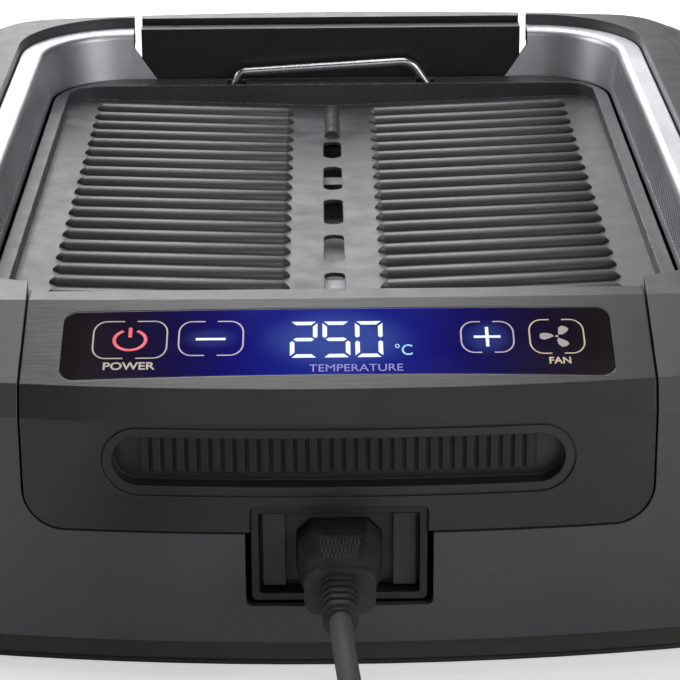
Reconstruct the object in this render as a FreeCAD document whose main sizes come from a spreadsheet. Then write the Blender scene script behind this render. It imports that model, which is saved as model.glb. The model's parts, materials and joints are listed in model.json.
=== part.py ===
"""Indoor electric grill with a lift-off ribbed plate, a drip tray and a plug-in lead.

Millimetres.  X is across the grill, -Y is the control end, +Z is up.  The origin is on the
surface that the grill stands on, under the middle of its body.
"""
import FreeCAD, Part
import math
import os

import Sketcher

Vector = FreeCAD.Vector
Rotation = FreeCAD.Rotation

SIZES = {
    # body of the base
    "half_width": 175.0, "front": 250.0, "back": 250.0, "top": 118.0, "skirt": 13.0,
    "wall": 3.0, "corner": 34.0, "bow": 750.0, "back_bow": 900.0, "crest_bow": 4000.0,
    "brow": 92.0, "brow_corner": 31.0, "slope_foot": 102.4, "brow_inset": 4.0,
    "crest_half": 155.0, "crest_front": 203.0, "crest_back": 193.0, "crest_corner": 27.0,
    "crest_inset": 1.5,
    # opening in the top, the curb round it and the rims that line it
    "rim_half": 141.5, "rim_end": 184.4, "rim_corner": 48.0, "rim_top": 113.4,
    "rim_ledge": 10.3, "rim_lean": 2.6, "rim_sheet": 1.5, "rim_foot": 91.5,
    "rim_roll": 3.4, "curb_gap": 0.5, "curb_wall": 3.0,
    "curb_ledge": 4.5, "ledge_top": 109.5, "ledge_deep": 3.0,
    "slot_wide": 1.9, "slot_pitch": 4.2, "slot_low": 95.0, "slot_high": 110.5,
    "slot_deep": 7.5, "rear_cut": 92.5, "front_cut": 107.5,
    # tub inside the base
    "tub_half": 136.5, "tub_end": 179.4, "tub_corner": 43.0, "tub_wall": 2.0, "tub_low": 40.0,
    # rear bridge
    "bridge_half": 88.8, "bridge_foot": 81.5, "bridge_knee": 102.0, "bridge_flare": 5.0,
    "bridge_gap": 3.5, "bridge_room_low": 84.0, "bridge_face": 172.0, "bridge_wall": 2.5,
    "bridge_ledge": 115.5, "groove_front": 179.4, "groove_back": 183.0, "groove_low": 112.0,
    "bridge_hollow": 109.0, "tab_low": 74.0, "tab_near": 48.0, "tab_far": 62.0,
    # bottom cover, feet and screws
    "plinth_inset": 8.0, "plinth_low": 2.0, "cover_sheet": 2.5, "cover_top": 20.0,
    "foot_radius": 11.0, "foot_edge": 1.0, "foot_x": 140.0, "foot_y": 205.0,
    "post_radius": 5.5, "post_x": 155.0, "post_y": 190.0,
    "screw_radius": 1.9, "screw_head": 3.6, "screw_head_deep": 2.0, "screw_long": 12.0,
    "screw_gap": 0.2,
    # fan
    "fan_radius": 46.0, "fan_hub": 14.0, "fan_low": 17.0, "fan_deep": 13.0, "fan_blades": 7.0,
    "fan_inlet": 40.0, "blade_turn": 16.0, "blade_thick": 2.0, "guard_pitch": 9.5,
    "guard_bar": 2.0, "motor_radius": 17.0, "shaft_radius": 2.0, "shaft_gap": 0.05,
    # grill plate
    "plate_half": 127.0, "plate_end": 170.4, "plate_corner": 36.0, "plate_top": 92.0,
    "pan_half": 121.5, "pan_end": 158.5, "pan_corner": 14.0, "pan_floor": 86.0,
    "pan_dip": 4.5, "plate_sheet": 3.0, "skirt_deep": 12.0,
    "rib_outer": 108.2, "rib_inner": 17.1, "rib_pitch": 13.9, "rib_count": 21.0,
    "rib_foot": 2.9, "rib_tip": 0.7, "rib_tall": 4.2, "rib_point": 4.0, "rib_shift": 2.9,
    "drain_wide": 7.8, "drain_long": 33.0, "drain_short": 25.0, "drain_pitch": 46.0,
    "drain_end": 87.5, "bump_long": 42.0, "bump_middle": 128.0, "bump_radius": 3.6,
    # bail handle of the plate
    "bail_wire": 2.0, "bail_half": 46.5, "bail_rise": 11.0, "bail_y": 165.0, "bail_z": 90.0,
    # drip tray
    "tray_half": 122.0, "tray_end": 150.0, "tray_corner": 26.0, "tray_low": 50.0,
    "tray_top": 66.0, "tray_sheet": 1.2, "tray_lip": 6.0,
    # control unit
    "unit_half": 103.5, "unit_low": 53.4, "unit_corner": 13.0, "unit_gap": 2.0,
    "unit_wall": 2.5, "unit_back": 194.0, "case_back": 172.5, "case_top": 106.0,
    "lens_half": 90.5, "lens_low": 7.5, "lens_high": 40.2, "lens_corner": 5.0,
    "lens_thick": 1.6, "lens_gap": 0.25,
    "bezel_half": 77.5, "bezel_low": 66.0, "bezel_high": 90.4, "bezel_line": 0.7,
    "bezel_deep": 0.8, "recess_half": 74.0, "recess_low": 69.6, "recess_high": 86.8,
    "recess_deep": 6.0, "grille_half": 64.5, "grille_low": 73.6, "grille_high": 86.2,
    "grille_pitch": 3.93, "grille_land": 2.6,
    "board_thick": 1.6,
    # mains inlet, its housing and the connector
    "inlet_z": 45.0, "inlet_half": 29.0, "inlet_low": 28.0, "inlet_high": 62.0,
    "inlet_front": 248.0, "pocket_deep": 8.0, "flange_half": 25.3, "flange_tall": 26.0,
    "flange_thick": 1.5, "bar_wide": 7.5, "bar_deep": 5.0,
    "shroud_wide": 35.8, "shroud_tall": 26.0, "shroud_long": 15.0,
    "notch_half": 31.0, "notch_low": 26.5,
    "plug_wide": 27.5, "plug_tall": 19.0, "plug_chamfer": 4.5, "plug_gap": 0.3,
    "neck_wide": 17.7, "neck_tall": 15.0, "neck_front": 250.0, "neck_back": 274.0,
    "collar_wide": 23.0, "collar_tall": 16.0, "collar_thick": 3.0,
    "relief_end": 297.0, "relief_wide": 12.8, "relief_tall": 12.4,
    "boot_rings": 5.0, "boot_groove": 1.1,
    # heater
    "tube_radius": 3.5, "heater_z": 73.0, "heater_half": 96.0, "heater_end": 128.0,
    "heater_legs": 34.0, "heater_inner": 42.0, "heater_bend": 14.0, "heater_front": 36.0,
    "heater_step": 30.0,
    # thermostat probe
    "probe_guide": 6.6, "probe_cap": 5.3, "probe_deep": 14.0, "probe_back": 14.0,
    # lead
    "lead_radius": 3.6, "coil_radius": 42.5, "coil_wide": 15.0, "coil_tall": 14.6,
    "tie_wide": 8.0, "tie_band": 0.6, "mains_radius": 18.5, "mains_long": 34.0,
    "mains_pin_radius": 2.4, "mains_pin_long": 19.0, "mains_pin_half": 9.5,
}


class Size:
    """A length together with the sheet expression that gives it."""

    def __init__(self, value, text):
        self.value = float(value)
        self.text = text

    def _join(self, sign, other, value, swapped=False):
        other_text = other.text if isinstance(other, Size) else repr(float(other))
        first, last = (other_text, self.text) if swapped else (self.text, other_text)
        return Size(value, f"({first} {sign} {last})")

    def __add__(self, other):
        return self._join("+", other, self.value + number(other))

    def __radd__(self, other):
        return self._join("+", other, self.value + number(other), True)

    def __sub__(self, other):
        return self._join("-", other, self.value - number(other))

    def __rsub__(self, other):
        return self._join("-", other, number(other) - self.value, True)

    def __mul__(self, other):
        return self._join("*", other, self.value * number(other))

    def __rmul__(self, other):
        return self._join("*", other, self.value * number(other), True)

    def __truediv__(self, other):
        return self._join("/", other, self.value / number(other))

    def __neg__(self):
        return Size(-self.value, f"(0 - {self.text})")


class Sheet:
    """The sheet of driving sizes; each alias reads as a Size."""

    def __init__(self, document, sizes):
        self.cells = document.addObject("Spreadsheet::Sheet", "Dims")
        for row, (alias, value) in enumerate(sizes.items(), start=1):
            self.cells.set(f"A{row}", alias)
            self.cells.set(f"B{row}", str(value))
            self.cells.setAlias(f"B{row}", alias)
        document.recompute()

    def __getattr__(self, alias):
        return Size(self.cells.getPropertyByName(alias), f"Dims.{alias}")


def number(size):
    return size.value if isinstance(size, Size) else float(size)


doc = FreeCAD.newDocument("grill")
dims = Sheet(doc, SIZES)
nodes = {}


# ---------------------------------------------------------------- building helpers

def bind(thing, field, size):
    """Set a number, or bind the field to the sheet."""
    if isinstance(size, Size):
        thing.setExpression(field, size.text)
    elif "." in field:
        thing.setExpression(field, repr(float(size)))
    else:
        setattr(thing, field, size)


def place(thing, x=0, y=0, z=0, turn=None):
    """Put a thing at a point, turned about its own origin first."""
    base = Vector(number(x), number(y), number(z))
    thing.Placement = FreeCAD.Placement(base, turn or Rotation())
    for axis, size in (("x", x), ("y", y), ("z", z)):
        bind(thing, f"Placement.Base.{axis}", size)
    return thing


def node(thing, label):
    """Name a finished sub-part after its file."""
    thing.Label = label
    nodes[label] = thing
    return thing


def origin_part(body, role):
    """One of the body's own origin planes or axes."""
    return next(part for part in body.Origin.OriginFeatures if part.Role == role)


def sketch_on(body, name, role="XY_Plane", level=0.0):
    """A sketch on one of the body's own origin planes, moved along its normal."""
    sketch = body.newObject("Sketcher::SketchObject", name)
    sketch.AttachmentSupport = [(origin_part(body, role), "")]
    sketch.MapMode = "FlatFace"
    sketch.AttachmentOffset = FreeCAD.Placement(Vector(0, 0, number(level)), Rotation())
    if isinstance(level, Size):
        sketch.setExpression("AttachmentOffset.Base.z", level.text)
    return sketch


def constrain(sketch, kind, *items):
    """Add one constraint; a Size at the end is bound to the sheet."""
    plain = [number(item) if isinstance(item, Size) else item for item in items]
    index = sketch.addConstraint(Sketcher.Constraint(kind, *plain))
    if isinstance(items[-1], Size):
        sketch.renameConstraint(index, f"size{index}")
        sketch.setExpression(f"Constraints.size{index}", items[-1].text)
    return index


def direction(start, end):
    along = (end[0] - start[0], end[1] - start[1])
    length = math.hypot(*along)
    return along[0] / length, along[1] / length


def turns_left(before, at, after):
    return ((at[0] - before[0]) * (after[1] - at[1])
            - (at[1] - before[1]) * (after[0] - at[0])) > 0


def draw_outline(sketch, points, closed=True):
    """Draw an outline or a path of (x, y, corner radius) points, fully constrained."""
    count = len(points)
    plain = [(number(p[0]), number(p[1]), number(p[2]) if len(p) > 2 else 0.0) for p in points]
    ends, middles = [], []
    for index, (x, y, radius) in enumerate(plain):
        back = direction((x, y), plain[index - 1])
        ahead = direction((x, y), plain[(index + 1) % count])
        if not radius:
            ends.append(((x, y), (x, y)))
            middles.append(None)
            continue
        half = math.acos(back[0] * ahead[0] + back[1] * ahead[1]) / 2
        reach = radius / math.tan(half)
        inward = direction((0, 0), (back[0] + ahead[0], back[1] + ahead[1]))
        depth = radius / math.sin(half) - radius
        ends.append(((x + back[0] * reach, y + back[1] * reach),
                     (x + ahead[0] * reach, y + ahead[1] * reach)))
        middles.append((x + inward[0] * depth, y + inward[1] * depth))
    lines = []
    for index in range(count if closed else count - 1):
        start, end = ends[index][1], ends[(index + 1) % count][0]
        segment = Part.LineSegment(Vector(*start, 0), Vector(*end, 0))
        lines.append(sketch.addGeometry(segment, False))
    for index, point in enumerate(points):
        if not closed and index in (0, count - 1):
            line, end = (lines[0], 1) if index == 0 else (lines[-1], 2)
            constrain(sketch, "DistanceX", -1, 1, line, end, point[0])
            constrain(sketch, "DistanceY", -1, 1, line, end, point[1])
            continue
        before, after = lines[index - 1], lines[index]
        if middles[index] is None:
            constrain(sketch, "Coincident", before, 2, after, 1)
            constrain(sketch, "DistanceX", -1, 1, after, 1, point[0])
            constrain(sketch, "DistanceY", -1, 1, after, 1, point[1])
            continue
        left_turn = turns_left(plain[index - 1], plain[index], plain[(index + 1) % count])
        first, last = ends[index] if left_turn else reversed(ends[index])
        arc = sketch.addGeometry(Part.Arc(Vector(*first, 0), Vector(*middles[index], 0),
                                          Vector(*last, 0)), False)
        near, far = (1, 2) if left_turn else (2, 1)
        constrain(sketch, "Tangent", before, 2, arc, near)
        constrain(sketch, "Tangent", arc, far, after, 1)
        constrain(sketch, "Radius", arc, point[2])
        tip = sketch.addGeometry(Part.Point(Vector(*plain[index][:2], 0)), True)
        constrain(sketch, "PointOnObject", tip, 1, before)
        constrain(sketch, "PointOnObject", tip, 1, after)
        constrain(sketch, "DistanceX", -1, 1, tip, 1, point[0])
        constrain(sketch, "DistanceY", -1, 1, tip, 1, point[1])


def draw_circle(sketch, x, y, radius):
    circle = Part.Circle(Vector(number(x), number(y), 0), Vector(0, 0, 1), number(radius))
    index = sketch.addGeometry(circle, False)
    constrain(sketch, "Radius", index, radius)
    constrain(sketch, "DistanceX", -1, 1, index, 3, x)
    constrain(sketch, "DistanceY", -1, 1, index, 3, y)


def new_body(name):
    return doc.addObject("PartDesign::Body", name)


# The XZ plane faces -Y, so a span there starts at its high side.
NORMAL_SIGN = {"XY_Plane": 1, "XZ_Plane": -1, "YZ_Plane": 1}


def prism(name, outlines, low, high, role="XY_Plane", circles=()):
    """A padded body between two levels along the plane's axis."""
    body = new_body(name)
    start = low if NORMAL_SIGN[role] > 0 else -high
    sketch = sketch_on(body, f"{name}_outline", role, start)
    for outline in outlines:
        draw_outline(sketch, outline)
    for circle in circles:
        draw_circle(sketch, *circle)
    pad = body.newObject("PartDesign::Pad", f"{name}_pad")
    pad.Profile = sketch
    bind(pad, "Length", high - low)
    body.Tip = pad
    return body


def spun(name, points, x=0, y=0, z=0, turn=None):
    """A body turned from a half outline of (radius, height) points."""
    body = new_body(name)
    sketch = sketch_on(body, f"{name}_half", "XZ_Plane")
    draw_outline(sketch, points)
    turned = body.newObject("PartDesign::Revolution", f"{name}_turn")
    turned.Profile = sketch
    turned.ReferenceAxis = (sketch, ["V_Axis"])
    turned.Angle = 360
    body.Tip = turned
    return place(body, x, y, z, turn)


def box(name, x_span, y_span, z_span):
    block = doc.addObject("Part::Box", name)
    for field, span in (("Length", x_span), ("Width", y_span), ("Height", z_span)):
        bind(block, field, span[1] - span[0])
    return place(block, x_span[0], y_span[0], z_span[0])


def bent_rod(name, points, level, radius, role, start_turn, start):
    """A round rod swept along a flat path of straight runs and tangent bends."""
    carrier = new_body(f"{name}_carrier")
    spine = sketch_on(carrier, f"{name}_path", role, level)
    draw_outline(spine, points, closed=False)
    section = doc.addObject("Part::Circle", f"{name}_section")
    bind(section, "Radius", radius)
    place(section, *start, turn=start_turn)
    doc.recompute()
    sweep = doc.addObject("Part::Sweep", name)
    sweep.Sections = [section]
    sweep.Spine = (spine, [])
    sweep.Solid = True
    return sweep


ALONG = {"x": Rotation(Vector(0, 1, 0), 90), "y": Rotation(Vector(1, 0, 0), -90),
         "z": Rotation()}


def rod(name, radius, start, length, axis="z"):
    cylinder = doc.addObject("Part::Cylinder", name)
    bind(cylinder, "Radius", radius)
    bind(cylinder, "Height", length)
    return place(cylinder, *start, turn=ALONG[axis])


def fuse(name, pieces):
    joined = doc.addObject("Part::MultiFuse", name)
    joined.Shapes = pieces
    joined.Refine = True
    return joined


def cut(name, base, tools):
    """Take one or more tools away from a base."""
    taken = doc.addObject("Part::Cut", name)
    taken.Base = base
    taken.Tool = tools[0] if len(tools) == 1 else fuse(f"{name}_tools", tools)
    taken.Refine = True
    return taken


def common(name, pieces):
    shared = doc.addObject("Part::MultiCommon", name)
    shared.Shapes = pieces
    shared.Refine = True
    return shared


def group(name, pieces):
    several = doc.addObject("Part::Compound", name)
    several.Links = pieces
    return several


def mirrored(name, source, normal=Vector(1, 0, 0)):
    twin = doc.addObject("Part::Mirroring", name)
    twin.Source = source
    twin.Normal = normal
    return twin


def rounded(half, low, high, radius):
    """Outline of a rounded rectangle, symmetric across X."""
    return [(-half, low, radius), (half, low, radius),
            (half, high, radius), (-half, high, radius)]


def rounded_block(wide, tall, radius):
    """A rounded rectangle round the connector's axis."""
    return rounded(wide / 2, dims.inlet_z - tall / 2, dims.inlet_z + tall / 2, radius)


def shrunk(half, end, corner, inset):
    """The same rounded rectangle, centred, drawn in by an inset."""
    return rounded(half - inset, -end + inset, end - inset, corner - inset)


def ring(name, half, end, corner, outer_inset, inner_inset, low, high):
    """A wall that follows a rounded rectangle between two insets."""
    return prism(name, [shrunk(half, end, corner, outer_inset),
                        shrunk(half, end, corner, inner_inset)], low, high)


# ---------------------------------------------------------------- the bowed form

def bowed_section(body, name, level, half, front, back, corner, bows):
    """A plan section: straight sides, bowed ends and tangent corners."""
    sketch = sketch_on(body, name, "XY_Plane", level)
    side, radius = number(half), number(corner)
    geometry = []
    bow_radii = [number(bow) for bow in bows]
    centres = [-number(front) + bow_radii[0], number(back) - bow_radii[1]]
    corner_x = side - radius
    corner_y, bow_x, bow_y = [], [], []
    for sign, centre, bow in zip((-1, 1), centres, bow_radii):
        reach = math.sqrt((bow - radius) ** 2 - corner_x ** 2)
        corner_y.append(centre + sign * reach)
        scale = bow / (bow - radius)
        bow_x.append(corner_x * scale)
        bow_y.append(centre + sign * reach * scale)

    def arc(start, middle, end):
        return Part.Arc(Vector(*start, 0), Vector(*middle, 0), Vector(*end, 0))

    def knee(sign_x, index):
        """Middle of a corner's arc."""
        pull = direction((0, centres[index]), (sign_x * corner_x, corner_y[index]))
        blend = direction((0, 0), (pull[0] + sign_x, pull[1]))
        return (sign_x * corner_x + blend[0] * radius, corner_y[index] + blend[1] * radius)

    front_y, back_y = -number(front), number(back)
    geometry.append(arc((-bow_x[0], bow_y[0]), (0, front_y), (bow_x[0], bow_y[0])))
    geometry.append(arc((bow_x[0], bow_y[0]), knee(1, 0), (side, corner_y[0])))
    geometry.append(Part.LineSegment(Vector(side, corner_y[0], 0), Vector(side, corner_y[1], 0)))
    geometry.append(arc((side, corner_y[1]), knee(1, 1), (bow_x[1], bow_y[1])))
    geometry.append(arc((bow_x[1], bow_y[1]), (0, back_y), (-bow_x[1], bow_y[1])))
    geometry.append(arc((-bow_x[1], bow_y[1]), knee(-1, 1), (-side, corner_y[1])))
    geometry.append(Part.LineSegment(Vector(-side, corner_y[1], 0), Vector(-side, corner_y[0], 0)))
    geometry.append(arc((-side, corner_y[0]), knee(-1, 0), (-bow_x[0], bow_y[0])))
    for piece in geometry:
        sketch.addGeometry(piece, False)
    for index in range(8):
        constrain(sketch, "Tangent", index, 2, (index + 1) % 8, 1)
    for index in (2, 6):
        constrain(sketch, "Vertical", index)
    constrain(sketch, "DistanceX", -1, 1, 2, 1, half)
    constrain(sketch, "DistanceX", -1, 1, 6, 1, -half)
    for index in (1, 3, 5, 7):
        constrain(sketch, "Radius", index, corner)
    for index, bow in ((0, bows[0]), (4, bows[1])):
        constrain(sketch, "Radius", index, bow)
        constrain(sketch, "PointOnObject", index, 3, -2)
    constrain(sketch, "DistanceY", -1, 1, 0, 3, bows[0] - front)
    constrain(sketch, "DistanceY", -1, 1, 4, 3, back - bows[1])
    return sketch


def bowed_form(name, inset, crest_inset, lift):
    """The grill's outer form, or the same form drawn in by a wall."""
    body = new_body(name)
    bows = (dims.bow - inset, dims.back_bow - inset)
    crest_bows = (dims.crest_bow - crest_inset, dims.back_bow - crest_inset)
    full = (dims.half_width - inset, dims.front - inset, dims.back - inset, dims.corner - inset)
    brow_inset = dims.brow_inset + inset
    brow = (dims.half_width - brow_inset, dims.front - brow_inset, dims.back - brow_inset,
            dims.brow_corner - inset)
    crest = (dims.crest_half - crest_inset, dims.crest_front - crest_inset,
             dims.crest_back - crest_inset, dims.crest_corner - crest_inset)
    sections = [
        bowed_section(body, f"{name}_low", dims.skirt - inset, *full, bows),
        bowed_section(body, f"{name}_waist", dims.brow - lift * 0.4, *full, bows),
        bowed_section(body, f"{name}_brow", dims.slope_foot - lift * 0.8, *brow, bows),
        bowed_section(body, f"{name}_crest", dims.top - lift, *crest, crest_bows),
    ]
    loft = body.newObject("PartDesign::AdditiveLoft", f"{name}_loft")
    loft.Profile = sections[0]
    loft.Sections = sections[1:]
    loft.Ruled = True
    body.Tip = loft
    return body


def bowed_prism(name, inset, low, high):
    """An upright block whose plan is the base's outline drawn in by an inset."""
    body = new_body(name)
    sketch = bowed_section(body, f"{name}_plan", low, dims.half_width - inset,
                           dims.front - inset, dims.back - inset, dims.corner - inset,
                           (dims.bow - inset, dims.back_bow - inset))
    pad = body.newObject("PartDesign::Pad", f"{name}_pad")
    pad.Profile = sketch
    bind(pad, "Length", high - low)
    body.Tip = pad
    return body


outer_form = bowed_form("outer_form", 0.0, 0.0, 0.0)
inner_form = bowed_form("inner_form", dims.wall, dims.crest_inset, dims.wall)
FAR = 400.0
FRONT_ROOM = 60.0
SIDES = {"left": -1, "right": 1}
COVER_FLOOR = dims.plinth_low + dims.cover_sheet
CORNERS = [(x, y) for x in (-1, 1) for y in (-1, 1)]
POST_SPOTS = [(side * dims.post_x, row * dims.post_y) for side in (-1, 1) for row in (-1, 0, 1)]


# ---------------------------------------------------------------- base

def unit_outline(gap):
    """The control unit's front outline, grown by a gap."""
    half, low = dims.unit_half + gap, dims.unit_low - gap
    radius = dims.unit_corner + gap
    return [(-half, low, radius), (half, low, radius), (half, FAR), (-half, FAR)]


def bridge_lean(gap, level):
    """Half width of the bridge's leaning ends at a level."""
    lean = (dims.bridge_half - dims.bridge_foot) / (dims.bridge_knee - dims.rim_foot)
    return dims.bridge_foot + gap + lean * (level - dims.rim_foot)


def bridge_block(name, gap, low, face):
    """The bridge's block: ends that lean from the foot, then stand upright and flare."""
    foot, crown = bridge_lean(gap, low), bridge_lean(gap, dims.top)
    half = dims.bridge_half + gap
    leaning = prism(f"{name}_lean", [[(-foot, low), (foot, low), (crown, dims.top),
                                      (crown, FAR), (-crown, FAR), (-crown, dims.top)]],
                    face, FAR, "XZ_Plane")
    plan = prism(f"{name}_plan", [[(-half, 0.0), (half, 0.0), (half, dims.groove_back),
                                   (half + dims.bridge_flare, dims.back),
                                   (half + dims.bridge_flare, FAR),
                                   (-half - dims.bridge_flare, FAR),
                                   (-half - dims.bridge_flare, dims.back),
                                   (-half, dims.groove_back)]], 0.0, FAR)
    return common(f"{name}_block", [leaning, plan])


def inlet_outline(half, low):
    return [(-half, low, 2.0), (half, low, 2.0), (half, dims.unit_low), (-half, dims.unit_low)]


def make_base_shell(bridge_space):
    """Moulded outer shell: skin, curb for the rims and tub, and posts for the cover."""
    skin = cut("shell_skin", outer_form, [inner_form])
    opening = prism("top_opening",
                    [shrunk(dims.rim_half, dims.rim_end, dims.rim_corner, -dims.curb_gap)],
                    dims.ledge_top, FAR)
    curb = ring("curb", dims.rim_half, dims.rim_end, dims.rim_corner,
                -dims.curb_gap - dims.curb_wall, -dims.curb_gap,
                dims.ledge_top - dims.ledge_deep, dims.top - dims.wall / 2)
    ledge = ring("curb_shelf", dims.rim_half, dims.rim_end, dims.rim_corner,
                 -dims.curb_gap - dims.curb_wall / 2, dims.curb_ledge,
                 dims.ledge_top - dims.ledge_deep, dims.ledge_top)
    posts = [rod(f"post_{index}", dims.post_radius, (*spot, COVER_FLOOR),
                 dims.top - COVER_FLOOR) for index, spot in enumerate(POST_SPOTS)]
    solid_posts = common("shell_posts", [fuse("post_rods", posts), outer_form])
    holes = [rod(f"post_hole_{index}", dims.screw_radius, (*spot, COVER_FLOOR - 1.0),
                 dims.screw_long + 1.0) for index, spot in enumerate(POST_SPOTS)]
    unit_room = prism("unit_room", [unit_outline(dims.unit_gap)], -FAR, -dims.case_back + 2.0,
                      "XZ_Plane")
    notch = prism("inlet_notch", [inlet_outline(dims.notch_half, dims.notch_low)],
                  -FAR, FRONT_ROOM - dims.front, "XZ_Plane")
    walls = cut("shell_walls", fuse("shell_blank", [skin, curb, ledge, solid_posts]),
                [opening, unit_room, bridge_space, notch])
    return node(cut("base_shell_cut", walls, holes), "base_shell")


def make_rims():
    """Satin metal rims: a ledge that rolls over into a slotted wall beside the plate."""
    half, end, corner = dims.rim_half, dims.rim_end, dims.rim_corner
    low_ledge, sheet = dims.rim_top - dims.rim_sheet, dims.rim_sheet
    edge = half - dims.rim_ledge
    foot = edge - dims.rim_lean
    carrier = new_body("rim_carrier")
    spine = sketch_on(carrier, "rim_path", "XY_Plane", dims.rim_top)
    draw_outline(spine, [(half, 0.0), (half, end, corner), (-half, end, corner),
                         (-half, -end, corner), (half, -end, corner)])
    profile = sketch_on(carrier, "rim_profile", "XZ_Plane")
    draw_outline(profile, [(half, low_ledge), (edge + sheet, low_ledge, dims.rim_roll - sheet),
                           (foot + sheet, dims.rim_foot), (foot, dims.rim_foot),
                           (edge, dims.rim_top, dims.rim_roll), (half, dims.rim_top, sheet / 2)])
    doc.recompute()
    whole = doc.addObject("Part::Sweep", "rim_whole")
    whole.Sections = [profile]
    whole.Spine = (spine, [])
    whole.Solid = True
    low, slack = dims.rim_foot - 1.0, 0.5
    knee = dims.rim_foot + (dims.rear_cut - slack - dims.bridge_foot) * (
        (dims.bridge_knee - dims.rim_foot) / (dims.bridge_half - dims.bridge_foot))
    lean = bridge_lean(slack, low)
    rear_room = prism("rim_rear_room", [
        [(-lean, low), (lean, low), (dims.rear_cut, knee), (dims.rear_cut, FAR),
         (-dims.rear_cut, FAR), (-dims.rear_cut, knee)]], 0.0, FAR, "XZ_Plane")
    front_room = box("rim_front_room", (-dims.front_cut, dims.front_cut), (-FAR, 0.0),
                     (low, dims.top))
    reach = end - corner
    slots = new_body("rim_slots")
    sketch = sketch_on(slots, "rim_slot_outline", "YZ_Plane", half - 2 * dims.slot_deep)
    draw_outline(sketch, [(-reach, dims.slot_low), (-reach + dims.slot_wide, dims.slot_low),
                          (-reach + dims.slot_wide, dims.slot_high), (-reach, dims.slot_high)])
    pad = slots.newObject("PartDesign::Pad", "rim_slot")
    pad.Profile = sketch
    bind(pad, "Length", dims.slot_deep)
    row = slots.newObject("PartDesign::LinearPattern", "rim_slot_row")
    row.Originals = [pad]
    row.Direction = (origin_part(slots, "Y_Axis"), [""])
    count = math.floor(2 * number(reach) / number(dims.slot_pitch))
    row.Occurrences = count + 1
    bind(row, "Length", dims.slot_pitch * count)
    slots.Tip = row
    for side, sign in SIDES.items():
        span = (0.0, FAR) if sign > 0 else (-FAR, 0.0)
        side_room = box(f"rim_{side}_half", span, (-FAR, FAR), (0.0, FAR))
        blades = slots if sign > 0 else mirrored("rim_slots_left", slots)
        one = common(f"rim_{side}_piece", [whole, side_room])
        node(cut(f"rim_{side}_cut", one, [rear_room, front_room, blades]), f"side_rim_{side}")


def make_inner_tub(bridge_space):
    """Tub that lines the base: floor with the fan's inlet, walls and a top flange."""
    half, end, corner, wall = dims.tub_half, dims.tub_end, dims.tub_corner, dims.tub_wall
    blank = prism("tub_blank", [shrunk(half, end, corner, 0.0)], dims.tub_low, dims.ledge_top)
    flange = ring("tub_flange", dims.rim_half, dims.rim_end, dims.rim_corner, 0.0,
                  dims.rim_half - half + wall, dims.ledge_top, dims.rim_top - dims.rim_sheet)
    inside = prism("tub_inside", [shrunk(half, end, corner, wall)], dims.tub_low + wall, FAR)
    unit_room = box("tub_unit_room", (-dims.unit_half - dims.unit_gap,
                                      dims.unit_half + dims.unit_gap),
                    (-FAR, -dims.case_back + 2.0), (dims.unit_low - dims.unit_gap, FAR))
    inlet = rod("tub_fan_inlet", dims.fan_inlet, (0.0, 0.0, dims.tub_low - 1.0), wall + 2.0)
    return node(cut("tub_cut", fuse("tub_walls", [blank, flange]),
                    [inside, unit_room, bridge_space, inlet]), "inner_tub")


def make_bridge():
    """Black rear bridge: rail, groove, inner ledge, face, and tabs over the tub's wall."""
    form = common("bridge_form", [bridge_block("bridge", 0.0, dims.rim_foot,
                                               dims.bridge_face), outer_form])
    hollow = common("bridge_hollow", [
        bowed_form("bridge_inner_form", dims.bridge_wall, dims.crest_inset, dims.bridge_wall),
        bridge_block("bridge_inside", -dims.bridge_wall, dims.rim_foot - 1.0,
                     dims.bridge_face + dims.bridge_wall),
        box("bridge_low_room", (-FAR, FAR), (0.0, FAR), (0.0, dims.bridge_hollow))])
    groove = box("bridge_groove", (-FAR, FAR), (dims.groove_front, dims.groove_back),
                 (dims.groove_low, FAR))
    step = box("bridge_step", (-FAR, FAR), (0.0, dims.groove_back - 1.0),
               (dims.bridge_ledge, FAR))
    skin = cut("bridge_skin", form, [hollow, groove, step])
    tabs = [box(f"bridge_tab_{sign + 1}",
                (dims.tab_near, dims.tab_far) if sign > 0 else (-dims.tab_far, -dims.tab_near),
                (dims.tub_end, dims.tub_end + dims.bridge_wall),
                (dims.tab_low, dims.bridge_hollow + 1.0)) for sign in (-1, 1)]
    return node(fuse("bridge_fuse", [skin, *tabs]), "rear_bridge")


bridge_space = bridge_block("bridge_space", dims.bridge_gap, dims.bridge_room_low, 0.0)
make_base_shell(bridge_space)
make_rims()
make_inner_tub(bridge_space)
make_bridge()


def corner_rods(name, radius, x, y, low, length):
    """Four equal upright rods at the corners of a rectangle."""
    return [rod(f"{name}_{index}", radius, (sx * x, sy * y, low), length)
            for index, (sx, sy) in enumerate(CORNERS)]


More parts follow.
